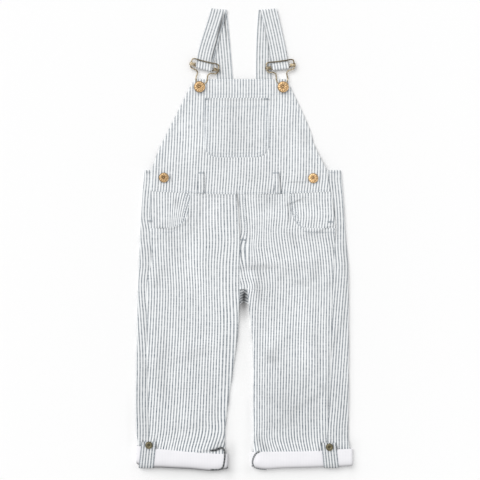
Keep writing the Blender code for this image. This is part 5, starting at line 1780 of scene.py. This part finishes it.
def button(node, place, seat, radius, stem, sheen=(1.0, 0.0), petals=10, material=EMBOSSED,
           slot="antique_brass"):
    """A turned metal button, rings of points whose height is a profile of the radius plus petals, a
    cosine round the button that is strongest half way out. Its tone is painted light: it falls from
    left to right by the sheen, a painted highlight on the left and painted shade on the right."""
    x, height = place
    segments = 72
    top = BUTTON_HEIGHT * radius / STRAP_BUTTON
    share = np.concatenate([np.linspace(0.02, 0.98, 34), [1.0, 0.985, 0.93, 0.86, SHANK / radius]])
    angle = np.linspace(0, 2 * math.pi, segments, endpoint=False)
    keys = np.array([0.0, 0.10, 0.16, 0.26, 0.34, 0.60, 0.78, 0.84, 0.92, 0.98])
    rises = np.array([0.82, 0.80, 0.64, 0.66, 0.84, 0.98, 0.90, 0.80, 0.96, 0.70])
    profile = np.interp(share[:34], keys, rises)
    z = np.concatenate([profile, [0.5, 0.25, 0.06, 0.0, 0.0]]) * top
    strength = 0.16 * top * np.exp(-(((share - 0.56) / 0.17) ** 2)) * (petals > 0)
    wave = strength[:, None] * np.cos(petals * angle)
    lift = z[:, None] + wave
    reach = share[:, None] * radius
    face = stack(x + reach * np.cos(angle), height + reach * np.sin(angle), lift + seat)
    foot = [stack(x + r * np.cos(angle), height + r * np.sin(angle), seat - stem) for r in (SHANK, 0.02)]
    points = np.concatenate([face, foot])
    bright = np.clip((lift / top - 0.55) / 0.45, 0, 1)
    bright = np.concatenate([bright, np.zeros((2, segments))])
    uv = stack(np.zeros_like(bright), bright)
    faces = grid_quads(len(points), segments, wrap_cols=True)
    tone = sheen[0] - sheen[1] * (points[..., 0].ravel() - x) / radius
    piece = mesh_piece(f"{node}_metal", points, faces, material, uv, sharp=60, tone=tone, lit=bare_light)
    fit_metal(recalculated(piece), node)


def buttons():
    """The tack buttons on the bib's corners, at the side openings and on the cuff tabs."""
    strap_stem = 2 * WIRE + SEAM
    for side in SIDES:
        place = BUCKLES[side][:2]
        seat = spot(*place) + SEAM + strap_stem
        button(f"strap_button_{side}", place, seat, STRAP_BUTTON, strap_stem, STRAP_SHEENS[side])
        place = HIP_BUTTONS[side]
        seat = spot(*place) + SEAM + HIP_STEM
        button(f"hip_button_{side}", place, seat, HIP_BUTTON, HIP_STEM, HIP_SHEENS[side])
        seat = CUFF_DEPTH + SEAM + CLOTH + SEAM + TAB_STEM
        button(f"tab_button_{side}", TAB_BUTTONS[side], seat, TAB_BUTTON, TAB_STEM,
               petals=0, material=BRONZE, slot="dark_bronze")


# ---------------------------------------------------------------- stage


FLOOR = 3000.0  # half the width of the floor
FLOOR_DEPTH = -0.3
# Its grid's lines, closer where painted shade falls: start, end, step
FLOOR_GRID = {
    "x": ((-640, 641, 40), (-180, 181, 3)),
    "height": ((-640, 1281, 40), (-42, 300, 2), (300, 630, 5)),
}
PAPER = "FEFEFE"
ROOM_STRENGTH = 0.60
SUN_STRENGTH = 1.60
SUN_WIDTH = 50  # degrees; a wide sun casts soft shadows
SUN_PLACE = (-0.8, 0.8, 1.5)
LENS, SENSOR, VIEW_WIDTH = 85.0, 36.0, 0.720


def floor_grid(name):
    """Places of the floor's grid lines: its two ends and several runs of even steps."""
    runs = [np.arange(*run) for run in FLOOR_GRID[name]]
    return np.unique(np.concatenate([[-FLOOR, FLOOR], *runs]))


def stage():
    """A pale floor with painted shadows round the garment, soft daylight from the upper left in a white room,
    and the camera straight above.
    """
    points = stack(floor_grid("x"), floor_grid("height")[:, None], FLOOR_DEPTH)
    material, tree, shader = new_material("pale paper floor", {"Roughness": 0.9})
    tree.links.new(lit_colour(tree, linear(PAPER)), shader.inputs["Base Color"])
    floor = mesh_piece("floor", points, grid_quads(*points.shape[:2]), material, lit=floor_light)

    world = bpy.data.worlds.new("soft room")
    bpy.context.scene.world = world
    world.use_nodes = True
    background = world.node_tree.nodes["Background"]
    background.inputs["Color"].default_value = (1.0, 1.0, 1.0, 1.0)
    background.inputs["Strength"].default_value = ROOM_STRENGTH

    key = bpy.data.lights.new("key", "SUN")
    key.energy = SUN_STRENGTH
    key.angle = math.radians(SUN_WIDTH)
    lamp = bpy.data.objects.new("key", key)
    lamp.location = SUN_PLACE
    lamp.rotation_euler = (-Vector(SUN_PLACE)).to_track_quat("-Z", "Y").to_euler()
    bpy.context.scene.collection.objects.link(lamp)

    camera = bpy.data.cameras.new("camera")
    camera.lens = LENS
    camera.sensor_width = SENSOR
    eye = bpy.data.objects.new("camera", camera)
    eye.location = (-0.0060, -0.00155, 0.005 + VIEW_WIDTH * LENS / SENSOR)
    bpy.context.scene.collection.objects.link(eye)
    bpy.context.scene.camera = eye
    bpy.context.scene.view_settings.view_transform = "Standard"


def main():
    """Every piece of the garment, and the stage that it lies on."""
    front_bib()
    back_bib()
    chest_pocket()
    fly_placket()
    for side in SIDES:
        back_leg(side)
        front_leg(side)
        pocket_facing(side)
        belt_loop(side)
        cuff(side)
        tab(side)
        strap(side)
        buckle(side)
        slider(side)
    buttons()
    stage()


main()
